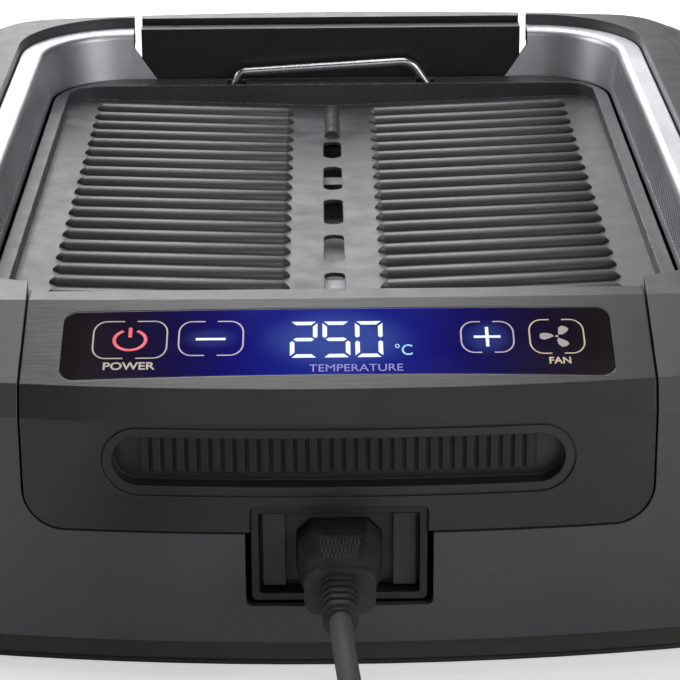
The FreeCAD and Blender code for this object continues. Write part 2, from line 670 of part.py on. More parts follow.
def make_bottom_cover():
    """Recessed pan that closes the base from below, with vents under the fan."""
    inset = dims.plinth_inset
    block = bowed_prism("cover_block", inset, dims.plinth_low, dims.cover_top)
    inside = bowed_prism("cover_inside", inset + dims.cover_sheet, COVER_FLOOR, FAR)
    gap, head, neck = dims.screw_gap, dims.screw_head, dims.screw_radius + dims.screw_gap
    holes = [spun(f"cover_hole_{index}", [
        (0.0, -1.0), (head + gap, -1.0), (head + gap, gap), (neck, dims.screw_head_deep + gap),
        (neck, dims.cover_sheet + 1.0), (0.0, dims.cover_sheet + 1.0)], *spot, dims.plinth_low)
        for index, spot in enumerate(POST_SPOTS)]
    vents = new_body("cover_vents")
    sketch = sketch_on(vents, "cover_vent", "XY_Plane", dims.plinth_low - 1.0)
    near, far = dims.motor_radius + 6.0, dims.fan_radius
    draw_outline(sketch, [(near, -2.2), (far, -2.2), (far, 2.2), (near, 2.2)])
    pad = vents.newObject("PartDesign::Pad", "cover_vent_pad")
    pad.Profile = sketch
    bind(pad, "Length", dims.cover_sheet + 2.0)
    turns = vents.newObject("PartDesign::PolarPattern", "cover_vent_ring")
    turns.Originals = [pad]
    turns.Axis = (origin_part(vents, "Z_Axis"), [""])
    turns.Angle = 360
    turns.Occurrences = 18
    vents.Tip = turns
    return node(cut("cover_cut", block, [inside, *holes, vents]), "bottom_cover")


def make_feet_and_screws():
    """Four rubber pads under the cover, and the countersunk screws that hold it."""
    radius, edge, deep = dims.foot_radius, dims.foot_edge, dims.plinth_low
    feet = [spun(f"foot_{index}", [(0.0, 0.0), (radius - edge, 0.0), (radius, edge),
                                   (radius, deep), (0.0, deep)],
                 sx * dims.foot_x, sy * dims.foot_y)
            for index, (sx, sy) in enumerate(CORNERS)]
    node(group("feet_group", feet), "feet")
    shank = dims.screw_radius - dims.screw_gap / 2
    outline = [(0.0, 0.5), (dims.screw_head - 0.8, 0.0), (dims.screw_head, dims.screw_gap),
               (shank, dims.screw_head_deep), (shank, dims.screw_long), (0.0, dims.screw_long)]
    screws = [spun(f"cover_screw_{index}", outline, *spot, dims.plinth_low)
              for index, spot in enumerate(POST_SPOTS)]
    node(group("cover_screw_group", screws), "cover_screws")


def make_fan():
    """Motor on the cover, a bladed impeller above it and a guard in the tub's floor."""
    motor_top = dims.fan_low - 1.0
    can = spun("motor_can", [(0.0, 0.0), (dims.motor_radius + 5.0, 0.0),
                             (dims.motor_radius + 5.0, 1.5), (dims.motor_radius, 1.5),
                             (dims.motor_radius, motor_top - COVER_FLOOR - 1.5),
                             (dims.motor_radius - 1.5, motor_top - COVER_FLOOR),
                             (0.0, motor_top - COVER_FLOOR)], 0, 0, COVER_FLOOR)
    shaft = rod("motor_shaft", dims.shaft_radius, (0.0, 0.0, motor_top - 2.0),
                dims.fan_deep + 3.0)
    node(fuse("fan_motor_fuse", [can, shaft]), "fan_motor")
    wheel = spun("impeller_wheel", [(dims.shaft_radius + dims.shaft_gap, 0.0),
                                    (dims.fan_radius - 1.0, 0.0), (dims.fan_radius, 1.0),
                                    (dims.fan_radius, 1.8), (dims.fan_hub, 1.8),
                                    (dims.fan_hub, dims.fan_deep - 2.0),
                                    (dims.fan_hub - 2.0, dims.fan_deep),
                                    (dims.shaft_radius + dims.shaft_gap, dims.fan_deep)],
                 0, 0, dims.fan_low)
    blades = new_body("impeller_blades")
    sketch = sketch_on(blades, "impeller_blade", "XY_Plane", dims.fan_low + 1.0)
    near, far, thick = dims.fan_hub - 1.0, dims.fan_radius - 1.0, dims.blade_thick
    turn = near + dims.blade_turn
    draw_outline(sketch, [(near, -thick / 2), (turn, -1.3 * thick), (far, -2.7 * thick),
                          (far - 0.8, -1.8 * thick), (turn, -0.3 * thick), (near, thick / 2)])
    pad = blades.newObject("PartDesign::Pad", "impeller_blade_pad")
    pad.Profile = sketch
    bind(pad, "Length", dims.fan_deep - 3.0)
    turns = blades.newObject("PartDesign::PolarPattern", "impeller_ring")
    turns.Originals = [pad]
    turns.Axis = (origin_part(blades, "Z_Axis"), [""])
    turns.Angle = 360
    turns.Occurrences = int(number(dims.fan_blades))
    blades.Tip = turns
    node(fuse("impeller_fuse", [wheel, blades]), "fan_impeller")
    inlet, bar, half_bar = dims.fan_inlet, dims.guard_bar, dims.guard_bar / 2
    floor_low, floor_top = dims.tub_low, dims.tub_low + dims.tub_wall
    outer = [inlet - 0.3 - dims.guard_pitch * index for index in range(4)]
    hoops = [prism(f"guard_hoop_{index}", [], floor_low, floor_top,
                   circles=[(0.0, 0.0, radius), (0.0, 0.0, radius - bar)])
             for index, radius in enumerate(outer)]
    spokes = [box("guard_spoke_x", (1.0 - inlet, inlet - 1.0), (-half_bar, half_bar),
                  (floor_low, floor_top)),
              box("guard_spoke_y", (-half_bar, half_bar), (1.0 - inlet, inlet - 1.0),
                  (floor_low, floor_top))]
    flange = prism("guard_flange", [], floor_top, floor_top + 1.2,
                   circles=[(0.0, 0.0, inlet + 4.0), (0.0, 0.0, inlet - 0.3 - bar)])
    node(fuse("fan_guard_fuse", [*hoops, *spokes, flange]), "fan_guard")


# ---------------------------------------------------------------- drip tray

def make_drip_tray():
    """Pressed tray with a rolled lip, standing on four pressed feet."""
    half, end, corner, sheet = dims.tray_half, dims.tray_end, dims.tray_corner, dims.tray_sheet
    blank = prism("tray_blank", [shrunk(half, end, corner, dims.tray_lip)], dims.tray_low,
                  dims.tray_top)
    inside = prism("tray_inside", [shrunk(half, end, corner, dims.tray_lip + sheet)],
                   dims.tray_low + sheet, FAR)
    lip = ring("tray_lip_ring", half, end, corner, 0.0, dims.tray_lip,
               dims.tray_top - sheet, dims.tray_top)
    curl = ring("tray_curl", half, end, corner, 0.0, sheet, dims.tray_top - 3.0, dims.tray_top)
    floor_top = dims.tub_low + dims.tub_wall
    feet = corner_rods("tray_foot", 6.0, half - 30.0, end - 34.0, floor_top,
                       dims.tray_low - floor_top)
    walls = cut("tray_cut", blank, [inside])
    return node(fuse("tray_fuse", [walls, lip, curl, *feet]), "drip_tray")


# ---------------------------------------------------------------- grill plate

def dip_angle():
    return math.degrees(math.atan2(number(dims.pan_dip), number(dims.pan_half)))


def valley(name, drop, low_end):
    """Space above or below the plate's V-shaped floor, moved down by a drop."""
    outer, middle = dims.pan_floor - drop, dims.pan_floor - dims.pan_dip - drop
    half = dims.plate_half + 5.0
    rise = (dims.plate_half + 5.0 - dims.pan_half) * (dims.pan_dip.value / dims.pan_half.value)
    return prism(name, [[(-half, outer + rise), (0.0, middle), (half, outer + rise),
                         (half, low_end), (-half, low_end)]], -FAR, FAR, "XZ_Plane")


def make_rib_column():
    """One column of pointed ribs, flat, with its middle on the origin."""
    body = new_body("rib_column")
    sketch = sketch_on(body, "rib_outline", "XY_Plane", -1.0)
    reach = (dims.rib_outer - dims.rib_inner) / 2
    foot = dims.rib_foot + 0.5
    draw_outline(sketch, [(-reach, 0.0), (-reach + dims.rib_point, -foot),
                          (reach - dims.rib_point, -foot), (reach, 0.0),
                          (reach - dims.rib_point, foot), (-reach + dims.rib_point, foot)])
    pad = body.newObject("PartDesign::Pad", "rib_pad")
    pad.Profile = sketch
    bind(pad, "Length", dims.rib_tall + 1.0)
    lean = math.atan2(number(foot - dims.rib_tip), number(dims.rib_tall) + 1.0)
    pad.TaperAngle = -math.degrees(lean)
    doc.recompute()
    top = number(dims.rib_tall)
    crest = [f"Edge{index}" for index, edge in enumerate(pad.Shape.Edges, start=1)
             if all(abs(v.Z - top) < 1e-4 for v in edge.Vertexes)
             and edge.Length > number(reach)]
    round_top = body.newObject("PartDesign::Fillet", "rib_crest")
    round_top.Base = (pad, crest)
    bind(round_top, "Radius", dims.rib_tip * 0.9)
    row = body.newObject("PartDesign::LinearPattern", "rib_row")
    row.Originals = [pad, round_top]
    row.Direction = (origin_part(body, "Y_Axis"), [""])
    row.Occurrences = int(number(dims.rib_count))
    bind(row, "Length", dims.rib_pitch * (dims.rib_count - 1.0))
    body.Tip = row
    return body


def make_grill_plate():
    """Cast plate: raised rim, V-dipped floor, two columns of ribs and a row of drains."""
    half, end, corner = dims.plate_half, dims.plate_end, dims.plate_corner
    sheet = dims.plate_sheet
    blank = prism("plate_blank", [shrunk(half, end, corner, 0.0)],
                  dims.plate_top - dims.skirt_deep, dims.plate_top)
    pan_plan = prism("pan_plan", [rounded(dims.pan_half, -dims.pan_end, dims.pan_end,
                                          dims.pan_corner)], 0.0, FAR)
    pan = common("pan_room", [pan_plan, valley("pan_valley", 0.0, FAR)])
    under_plan = prism("under_plan", [shrunk(half, end, corner, sheet)], 0.0,
                       dims.plate_top - sheet)
    under = common("under_room", [under_plan, valley("under_valley", sheet, 0.0)])
    ribs = make_rib_column()
    middle_x = (dims.rib_outer + dims.rib_inner) / 2
    floor_at = dims.pan_floor - dims.pan_dip * (1.0 - middle_x.value / dims.pan_half.value)
    first_y = dims.rib_shift - dims.rib_pitch * (dims.rib_count - 1.0) / 2
    place(ribs, middle_x, first_y, floor_at, Rotation(Vector(0, 1, 0), -dip_angle()))
    bumps = []
    for index, sign in enumerate((-1, 1)):
        ridge = rod(f"bump_{index}", dims.bump_radius,
                    (0.0, sign * dims.bump_middle - dims.bump_long / 2,
                     dims.pan_floor - dims.pan_dip - 0.4), dims.bump_long, "y")
        bumps.append(common(f"bump_{index}_half", [ridge, box(
            f"bump_{index}_room", (-10.0, 10.0), (-FAR, FAR),
            (dims.pan_floor - dims.pan_dip - sheet + 0.2, dims.plate_top))]))
    body = cut("plate_casting", blank, [pan, under])
    drains = []
    spots = [(-dims.drain_end, dims.drain_short), (-dims.drain_pitch, dims.drain_long),
             (0.0, dims.drain_long), (dims.drain_pitch, dims.drain_long),
             (dims.drain_end, dims.drain_short)]
    for index, (y, long) in enumerate(spots):
        wide = dims.drain_wide / 2
        drains.append(prism(f"drain_{index}", [
            rounded(wide, y - long / 2, y + long / 2, wide * 0.98)],
            dims.pan_floor - 20.0, dims.plate_top))
    pivot = (dims.bail_y, dims.bail_z - 2.5)
    lugs, lug_holes, leg_slots = [], [], []
    for index, sign in enumerate((-1, 1)):
        near = sign * (dims.bail_half + dims.bail_wire + 1.0)
        span = (near, near + 4.0) if sign > 0 else (near - 4.0, near)
        lugs.append(box(f"lug_{index}", span, (dims.bail_y - 4.5, dims.bail_y + 3.0),
                        (pivot[1] - 4.0, dims.plate_top - sheet)))
        lug_holes.append(rod(f"lug_hole_{index}", dims.bail_wire + dims.shaft_gap,
                             (span[0] - 1.0, *pivot), 6.0, "x"))
        wide = dims.bail_wire + 0.4
        inward, outward = sign * (dims.bail_half - wide - 4.5), sign * (dims.bail_half + wide)
        leg_slots.append(box(f"leg_slot_{index}",
                             (inward, outward) if sign > 0 else (outward, inward),
                             (dims.bail_y - 5.4, dims.bail_y + 3.0),
                             (pivot[1] - 4.0, dims.plate_top + 1.0)))
    whole = fuse("plate_fuse", [body, ribs, mirrored("rib_column_left", ribs), *bumps, *lugs])
    return node(cut("grill_plate_cut", whole, [*drains, *leg_slots, *lug_holes]), "grill_plate")


def make_plate_handle():
    """Chromed wire bail; its two ends turn in the plate's lugs."""
    half, wire = dims.bail_half, dims.bail_wire
    pivot_z = dims.bail_z - 2.5
    tip = half + wire + 5.5
    bend = wire * 2.0
    high = dims.bail_z + dims.bail_rise
    path = [(-tip, pivot_z), (-half, pivot_z, bend), (-half + 4.0, high - 4.5, bend),
            (half - 9.0, high, bend * 2), (half, pivot_z, bend), (tip, pivot_z)]
    handle = bent_rod("bail", path, -dims.bail_y, wire, "XZ_Plane", ALONG["x"],
                      (-tip, dims.bail_y, pivot_z))
    return node(handle, "plate_handle")


make_bottom_cover()
make_feet_and_screws()
make_fan()
make_drip_tray()
make_grill_plate()
make_plate_handle()


# ---------------------------------------------------------------- control unit

def face_layer(name, outer, inner):
    """The layer between two depths behind the bowed front face."""
    centre = (0.0, dims.bow - dims.front, dims.unit_low - 5.0)
    tall = dims.top - dims.unit_low
    return cut(name, rod(f"{name}_outer", dims.bow - outer, centre, tall),
               [rod(f"{name}_inner", dims.bow - inner, centre, tall)])


def face_block(name, half, low, high, radius):
    """A rounded block through the front face."""
    return prism(name, [rounded(half, low, high, radius)], -FAR, FRONT_ROOM - dims.front,
                 "XZ_Plane")


def stadium(name, half, low, high, grow):
    """A block with round ends through the front face, grown by an amount all round."""
    return face_block(name, half + grow, low - grow, high + grow,
                      (high - low) / 2 + grow - 0.1)


def slope_degrees():
    run = number(dims.front) - number(dims.brow_inset) - number(dims.crest_front)
    return math.degrees(math.atan2(number(dims.top) - number(dims.slope_foot), run))


def on_slope(piece):
    """Move a piece drawn flat onto the sloped facet above the brow."""
    return place(piece, 0.0, dims.brow_inset - dims.front, dims.slope_foot,
                 Rotation(Vector(1, 0, 0), slope_degrees()))


def slope_block(name, x_low, x_high, low, high, radius, under, over):
    return on_slope(prism(name, [[(x_low, low, radius), (x_high, low, radius),
                                  (x_high, high, radius), (x_low, high, radius)]],
                          under, over))


def make_front_fascia():
    """Outer skin of the control unit: four facets, lens seat, oval recess, inlet notch."""
    block = prism("fascia_block", [unit_outline(0.0)], -FAR, -dims.unit_back, "XZ_Plane")
    form = common("fascia_form", [block, outer_form])
    inside_form = bowed_form("fascia_inner_form", dims.unit_wall, dims.crest_inset,
                             dims.unit_wall)
    inside = prism("fascia_inside", [unit_outline(-dims.unit_wall)], -FAR, -dims.unit_back,
                   "XZ_Plane")
    hollow = common("fascia_hollow", [inside, inside_form])
    skin = cut("fascia_skin", form, [hollow])
    wall = dims.unit_wall
    seat = common("recess_seat", [
        stadium("recess_seat_block", dims.recess_half, dims.recess_low, dims.recess_high,
                wall * 0.6),
        face_layer("recess_seat_layer", 0.5, dims.recess_deep + wall), outer_form])
    recess = common("recess_room", [
        stadium("recess_block", dims.recess_half, dims.recess_low, dims.recess_high, 0.0),
        face_layer("recess_layer", -1.0, dims.recess_deep)])
    bezel = (dims.bezel_half, dims.bezel_low, dims.bezel_high)
    bezel_line = common("bezel_groove", [
        cut("bezel_ring", stadium("bezel_outer", *bezel, 0.0),
            [stadium("bezel_inner", *bezel, -dims.bezel_line)]),
        face_layer("bezel_layer", -1.0, dims.bezel_deep)])
    lens_room = cut("lens_room", slope_block(
        "lens_room_block", -dims.lens_half - dims.lens_gap, dims.lens_half + dims.lens_gap,
        dims.lens_low - dims.lens_gap, dims.lens_high + dims.lens_gap,
        dims.lens_corner + dims.lens_gap, -12.0, 12.0), [lens_under_form])
    window = slope_block("fascia_window", -dims.lens_half + 4.0, dims.lens_half - 4.0,
                         dims.lens_low + 4.0, dims.lens_high - 3.0, 2.0, -12.0, 2.0)
    inlet = prism("fascia_inlet_notch", [
        [(-dims.inlet_half - 0.3, 0.0), (dims.inlet_half + 0.3, 0.0),
         (dims.inlet_half + 0.3, dims.inlet_high + 0.3, 2.0),
         (-dims.inlet_half - 0.3, dims.inlet_high + 0.3, 2.0)]],
        -FAR, -dims.unit_back - 5.0, "XZ_Plane")
    return node(cut("fascia_cut", fuse("fascia_fuse", [skin, seat]),
                    [recess, bezel_line, lens_room, window, inlet]), "front_fascia")


def make_recess_grille():
    """Insert of upright ribs that sits on the floor of the oval recess."""
    deep, rim = dims.recess_deep, 0.4
    low, high = dims.grille_low - rim, dims.grille_high + rim
    back = common("grille_back", [
        face_block("grille_back_block", dims.grille_half + rim, low, high, 1.0),
        face_layer("grille_back_layer", deep - 1.0, deep)])
    ribs = new_body("grille_ribs")
    sketch = sketch_on(ribs, "grille_rib", "XZ_Plane", dims.front - 30.0)
    left, right = -dims.grille_half, dims.grille_land - dims.grille_half
    draw_outline(sketch, [(left, dims.grille_low), (right, dims.grille_low),
                          (right, dims.grille_high), (left, dims.grille_high)])
    pad = ribs.newObject("PartDesign::Pad", "grille_rib_pad")
    pad.Profile = sketch
    pad.Length = 40.0
    row = ribs.newObject("PartDesign::LinearPattern", "grille_rib_row")
    row.Originals = [pad]
    row.Direction = (origin_part(ribs, "X_Axis"), [""])
    count = math.floor((2 * number(dims.grille_half) - number(dims.grille_land))
                       / number(dims.grille_pitch))
    row.Occurrences = count + 1
    bind(row, "Length", dims.grille_pitch * count)
    ribs.Tip = row
    blades = common("grille_blades", [ribs, face_layer("grille_blade_layer",
                                                       deep - 3.2, deep - 0.9)])
    return node(fuse("grille_fuse", [back, blades]), "recess_grille")


# Spans on the slope: across from, across to, up from, up to.
LCD_SPAN = (-33.0, 35.0, 11.0, 37.0)
BOARD_SPAN = (-94.0, 94.0, 6.0, 42.0)
RELAY_SPAN = (20.0, 39.0, 14.0, 29.0)
# Middles of the touch springs on the slope: power, minus, plus, fan.
TOUCH_SPOTS = [(-68.0, 25.0), (-41.6, 25.0), (49.5, 25.0), (72.0, 25.0)]
LCD_THICK, RELAY_TALL = 4.0, 14.0


def make_display():
    """Lens flush in the slope, and behind it the lit display, board and touch springs."""
    lens = common("lens_form", [
        slope_block("lens_block", -dims.lens_half, dims.lens_half, dims.lens_low,
                    dims.lens_high, dims.lens_corner, -12.0, 12.0),
        cut("lens_layer", outer_form, [lens_under_form])])
    node(lens, "display_lens")
    top = -dims.unit_wall - 2.2
    board_top = top - LCD_THICK
    board_low = board_top - dims.board_thick
    node(slope_block("lcd_block", *LCD_SPAN, 1.0, board_top, top), "lcd_module")
    node(slope_block("board_block", *BOARD_SPAN, 2.0, board_low, board_top), "control_board")
    springs = [on_slope(prism(f"touch_spring_{index}", [], board_top, top + 1.6,
                              circles=[(x, up, 6.0), (x, up, 4.8)]))
               for index, (x, up) in enumerate(TOUCH_SPOTS)]
    node(group("touch_spring_group", springs), "touch_springs")
    node(slope_block("relay_block", *RELAY_SPAN, 1.0, board_low - RELAY_TALL, board_low),
         "power_relay")


def make_control_housing():
    """Back case of the unit, with the floor and the housing round the mains inlet."""
    wall = dims.unit_wall
    case = prism("case_block", [unit_outline(0.0)], -dims.unit_back, -dims.case_back,
                 "XZ_Plane")
    inside = prism("case_inside", [unit_outline(-wall)], -FAR, -dims.case_back - wall,
                   "XZ_Plane")
    above = box("case_above", (-FAR, FAR), (-FAR, 0.0), (dims.case_top, FAR))
    lid = box("case_lid", (-FAR, FAR), (-FAR, 0.0), (dims.case_top - wall, FAR))
    hollow = cut("case_hollow", inside, [lid])
    floor = box("case_floor", (-dims.unit_half + 14.0, dims.unit_half - 14.0),
                (-dims.unit_back - 42.0, -dims.unit_back + 8.0),
                (dims.unit_low + wall + 0.2, dims.unit_low + wall + 2.4))
    floor_root = box("case_floor_root", (-dims.unit_half + 14.0, dims.unit_half - 14.0),
                     (-dims.unit_back, -dims.unit_back + 8.0),
                     (dims.unit_low + wall / 2, dims.unit_low + wall + 2.4))
    inlet = prism("inlet_box", [rounded(dims.inlet_half, dims.inlet_low, dims.inlet_high, 2.0)],
                  -dims.inlet_front, -dims.unit_back - 18.0, "XZ_Plane")
    mouth = prism("inlet_mouth", [rounded(dims.inlet_half - wall, dims.inlet_low + wall,
                                          dims.inlet_high - wall, 1.0)],
                  -FAR, -dims.inlet_front + dims.pocket_deep, "XZ_Plane")
    half_wide = dims.shroud_wide / 2 + 0.3
    half_tall = dims.shroud_tall / 2 + 0.3
    socket_room = box("socket_room", (-half_wide, half_wide),
                      (-dims.inlet_front, -dims.unit_back - 20.5),
                      (dims.inlet_z - half_tall, dims.inlet_z + half_tall))
    tube_holes = [rod(f"tube_hole_{side}", dims.tube_radius + 0.3,
                      (side * dims.heater_legs, -dims.unit_back, dims.heater_z), 40.0, "y")
                  for side in (-1, 1)]
    shell = cut("case_shell", case, [hollow, above])
    return node(cut("case_cut", fuse("case_fuse", [shell, floor, floor_root, inlet]),
                    [mouth, socket_room, *tube_holes]), "control_housing")


def make_inlet():
    """Three-pin mains inlet: flange with two upright bars, shroud and pins."""
    face = -dims.inlet_front + dims.pocket_deep
    half = dims.flange_half
    low, high = dims.inlet_z - dims.flange_tall / 2, dims.inlet_z + dims.flange_tall / 2
    flange = prism("inlet_flange", [rounded(half, low, high, 1.5)],
                   face - dims.flange_thick, face, "XZ_Plane")
    bars = [box(f"inlet_bar_{name}", (sign * half - dims.bar_wide * (sign > 0),
                                      sign * half + dims.bar_wide * (sign < 0)),
                (face - dims.bar_deep, face), (low, high)) for name, sign in SIDES.items()]
    shroud = prism("inlet_shroud", [rounded_block(dims.shroud_wide, dims.shroud_tall, 1.0)],
                   face - dims.flange_thick, face + dims.shroud_long, "XZ_Plane")
    mouth = prism("inlet_socket_mouth", [plug_outline(dims.plug_gap)], -FAR,
                  face + dims.shroud_long - 2.0, "XZ_Plane")
    pins = [box(f"inlet_pin_{index}", (x - 1.0, x + 1.0),
                (face, face + dims.shroud_long + 2.0), (dims.inlet_z + dz - 2.0,
                                                        dims.inlet_z + dz + 2.0))
            for index, (x, dz) in enumerate(PIN_SPOTS)]
    node(cut("inlet_cut", fuse("inlet_fuse", [flange, shroud, *bars]), [mouth, *pins]),
         "inlet_socket")
    node(group("inlet_pin_group", pins), "inlet_pins")


PIN_SPOTS = [(-7.0, -2.0), (7.0, -2.0), (0.0, 2.0)]


def plug_outline(gap):
    """Outline of the connector: a block with two chamfered upper corners."""
    half, tall = dims.plug_wide / 2 + gap, dims.plug_tall / 2 + gap
    low, high, cham = dims.inlet_z - tall, dims.inlet_z + tall, dims.plug_chamfer
    return [(-half, low, 1.5), (half, low, 1.5), (half, high - cham, 1.0),
            (half - cham, high, 1.0), (-half + cham, high, 1.0), (-half, high - cham, 1.0)]


def make_heater():
    """Bent tubular heater, its two cross straps and the terminals inside the unit."""
    z, end, half, legs = dims.heater_z, dims.heater_end, dims.heater_half, dims.heater_legs
    bend, inner, start = dims.heater_bend, dims.heater_inner, -dims.unit_back - 8.0
    front = dims.heater_front - dims.case_back
    step = front + dims.heater_step
    path = [(-legs, start), (-legs, front, bend), (-half, front, bend), (-half, end, bend),
            (-inner, end, bend), (-inner, step, bend), (inner, step, bend),
            (inner, end, bend), (half, end, bend), (half, front, bend), (legs, front, bend),
            (legs, start)]
    tube = bent_rod("heater_tube", path, z, dims.tube_radius, "XY_Plane", ALONG["y"],
                    (-legs, start, z))
    node(tube, "heater_element")
    strap_low = z - dims.tube_radius - 1.5
    straps = [box(f"heater_strap_{index}", (-half - 6.0, half + 6.0), (y - 5.0, y + 5.0),
                  (strap_low, strap_low + 1.5)) for index, y in enumerate((-55.0, 80.0))]
    node(group("heater_strap_group", straps), "heater_brackets")
    terminals = [rod(f"heater_terminal_{side}", 2.0, (side * legs, start - 12.0, z), 12.0, "y")
                 for side in (-1, 1)]
    node(group("heater_terminal_group", terminals), "heater_terminals")


def make_probe():
    """Sprung thermostat probe that touches the plate's underside."""
    y = dims.probe_back - dims.case_back
    top = dims.pan_floor - dims.pan_dip - dims.plate_sheet - 0.1
    seat = top - dims.probe_deep
    outer, cap_radius = dims.probe_guide, dims.probe_cap
    bore = cap_radius + 0.1
    guide = spun("probe_guide_tube", [(bore, 0.0), (outer, 0.0), (outer, 8.0), (bore, 8.0)],
                 0.0, y, seat)
    arm = box("probe_arm", (-6.0, 6.0), (-dims.case_back, y - 5.0), (seat, seat + 2.0))
    floor = rod("probe_floor", outer, (0.0, y, seat - 1.5), 1.5)
    node(fuse("probe_guide_fuse", [guide, arm, floor]), "probe_guide")
    lip = cap_radius - 0.3
    cap = spun("probe_cap_turn", [(0.0, -1.5), (lip, -1.5), (lip, -6.5), (cap_radius, -6.5),
                                  (cap_radius, -0.6), (cap_radius - 0.6, 0.0), (0.0, 0.0)],
               0.0, y, top)
    node(cap, "probe_cap")
    spring_top = dims.probe_deep - 1.5
    spring = spun("probe_spring_turn", [(2.8, 0.0), (4.0, 0.0), (4.0, spring_top),
                                        (2.8, spring_top)], 0.0, y, seat)
    node(spring, "probe_spring")


def make_unit_screws():
    """Screws that join the back case to the fascia's bosses."""
    screws = [rod(f"unit_screw_{side}", dims.screw_head,
                  (side * (dims.unit_half - 20.0), -dims.case_back, dims.unit_low + 12.0), 1.6,
                  "y") for side in (-1, 1)]
    node(group("unit_screw_group", screws), "control_screws")


lens_under_form = bowed_form("lens_under_form", dims.lens_thick, dims.crest_inset,
                             dims.lens_thick)
make_front_fascia()
make_recess_grille()
make_display()
make_control_housing()
make_inlet()
make_heater()
make_probe()
make_unit_screws()


# ---------------------------------------------------------------- lead

# The lead's route from the connector's boot down to the floor and into its coil.
LEAD_ROUTE = [(0.0, -297.0, 45.0), (0.6, -312.0, 44.6), (2.2, -329.0, 42.0),
              (4.5, -347.0, 35.0), (6.0, -367.0, 23.0), (5.0, -389.0, 11.0),
              (1.0, -413.0, 3.8), (-9.0, -440.0, 3.6), (-26.0, -466.0, 3.6)]
# The short tail from the top of the coil to the plug.
TAIL_ROUTE = [(-110.1, -432.8, 10.8), (-106.7, -412.2, 12.6), (-102.7, -392.2, 15.6),
              (-98.2, -373.2, 19.0)]
COIL_MIDDLE = (-64.7, -440.8)


def tube_path(points):
    """Straight runs joined by tangent arcs, each as large as its two runs allow."""
    spots = [Vector(*point) for point in points]
    edges, here = [], spots[0]
    for before, at, after in zip(spots, spots[1:], spots[2:]):
        back, ahead = (before - at), (after - at)
        shorter = min(back.Length, ahead.Length)
        back.normalize()
        ahead.normalize()
        turn = math.pi - back.getAngle(ahead)
        reach = 0.45 * shorter
        radius = reach / math.tan(turn / 2)
        start, end = at + back * reach, at + ahead * reach
        bisector = (back + ahead).normalize()
        centre = at + bisector * math.hypot(radius, reach)
        middle = centre - bisector * radius
        edges.append(Part.LineSegment(here, start).toShape())
        edges.append(Part.Arc(start, middle, end).toShape())
        print(f"  bend radius {radius:.0f}, turn {math.degrees(turn):.0f}")
        here = end
    edges.append(Part.LineSegment(here, spots[-1]).toShape())
    return Part.Wire(edges)


def make_lead_tube(label, points):
    """A round tube along the route, checked against section times length."""
    path = tube_path(points)
    radius = number(dims.lead_radius)
    along = Vector(*points[1]) - Vector(*points[0])
    ring_edge = Part.makeCircle(radius, Vector(*points[0]), along)
    shape = path.makePipeShell([Part.Wire([ring_edge])], True, False)
    wanted = math.pi * radius ** 2 * path.Length
    print(f"{label}: length {path.Length:.0f}, volume ratio {shape.Volume / wanted:.4f}")
    tube = doc.addObject("Part::Feature", label)
    tube.Shape = shape
    tube.Placement = FreeCAD.Placement()
    return node(tube, label)


def neck_outline():
    """The connector's outline where it meets the collar: the same corners, drawn in."""
    half, tall, z, cham = dims.neck_wide / 2, dims.neck_tall / 2, dims.inlet_z, 2.0
    return [(-half, z - tall, 1.5), (half, z - tall, 1.5), (half, z + tall - cham, 1.0),
            (half - cham, z + tall, 1.0), (-half + cham, z + tall, 1.0),
            (-half, z + tall - cham, 1.0)]


def make_connector():
    """Moulded connector: a nose in the inlet, a tapered neck, a thumb collar and a boot."""
    z = dims.inlet_z
    face = -dims.inlet_front + dims.pocket_deep + dims.shroud_long - 2.3
    nose = prism("plug_nose", [plug_outline(0.0)], -dims.neck_front, face, "XZ_Plane")
    neck = new_body("plug_neck")
    wide_end = sketch_on(neck, "plug_neck_front", "XZ_Plane", dims.neck_front)
    draw_outline(wide_end, plug_outline(0.0))
    slim_end = sketch_on(neck, "plug_neck_back", "XZ_Plane", dims.neck_back)
    draw_outline(slim_end, neck_outline())
    loft = neck.newObject("PartDesign::AdditiveLoft", "plug_neck_loft")
    loft.Profile = wide_end
    loft.Sections = [slim_end]
    loft.Ruled = True
    neck.Tip = loft
    collar_end = dims.neck_back + dims.collar_thick
    collar = prism("plug_collar", [rounded_block(dims.collar_wide, dims.collar_tall, 5.0)],
                   -collar_end, -dims.neck_back, "XZ_Plane")
    slots = [box(f"plug_slot_{index}", (x - 1.3, x + 1.3), (face - 17.0, 0.0),
                 (z + dz - 2.3, z + dz + 2.3)) for index, (x, dz) in enumerate(PIN_SPOTS)]
    node(cut("plug_cut", fuse("plug_fuse", [nose, neck, collar]), slots), "cord_connector")
    count = int(number(dims.boot_rings))
    pitch = (dims.relief_end - collar_end) / count
    rings = []
    for index in range(count):
        start = collar_end + pitch * index
        slim = 0.35 * index
        rings.append(prism(f"boot_ring_{index}", [rounded_block(
            dims.relief_wide - slim, dims.relief_tall - slim, 4.2)],
            -(start + pitch * 0.62), -start, "XZ_Plane"))
    slim += 2 * dims.boot_groove
    core = prism("boot_core", [rounded_block(dims.relief_wide - slim,
                                             dims.relief_tall - slim, 3.4)],
                 -dims.relief_end, -collar_end, "XZ_Plane")
    node(fuse("boot_fuse", [*rings, core]), "connector_relief")


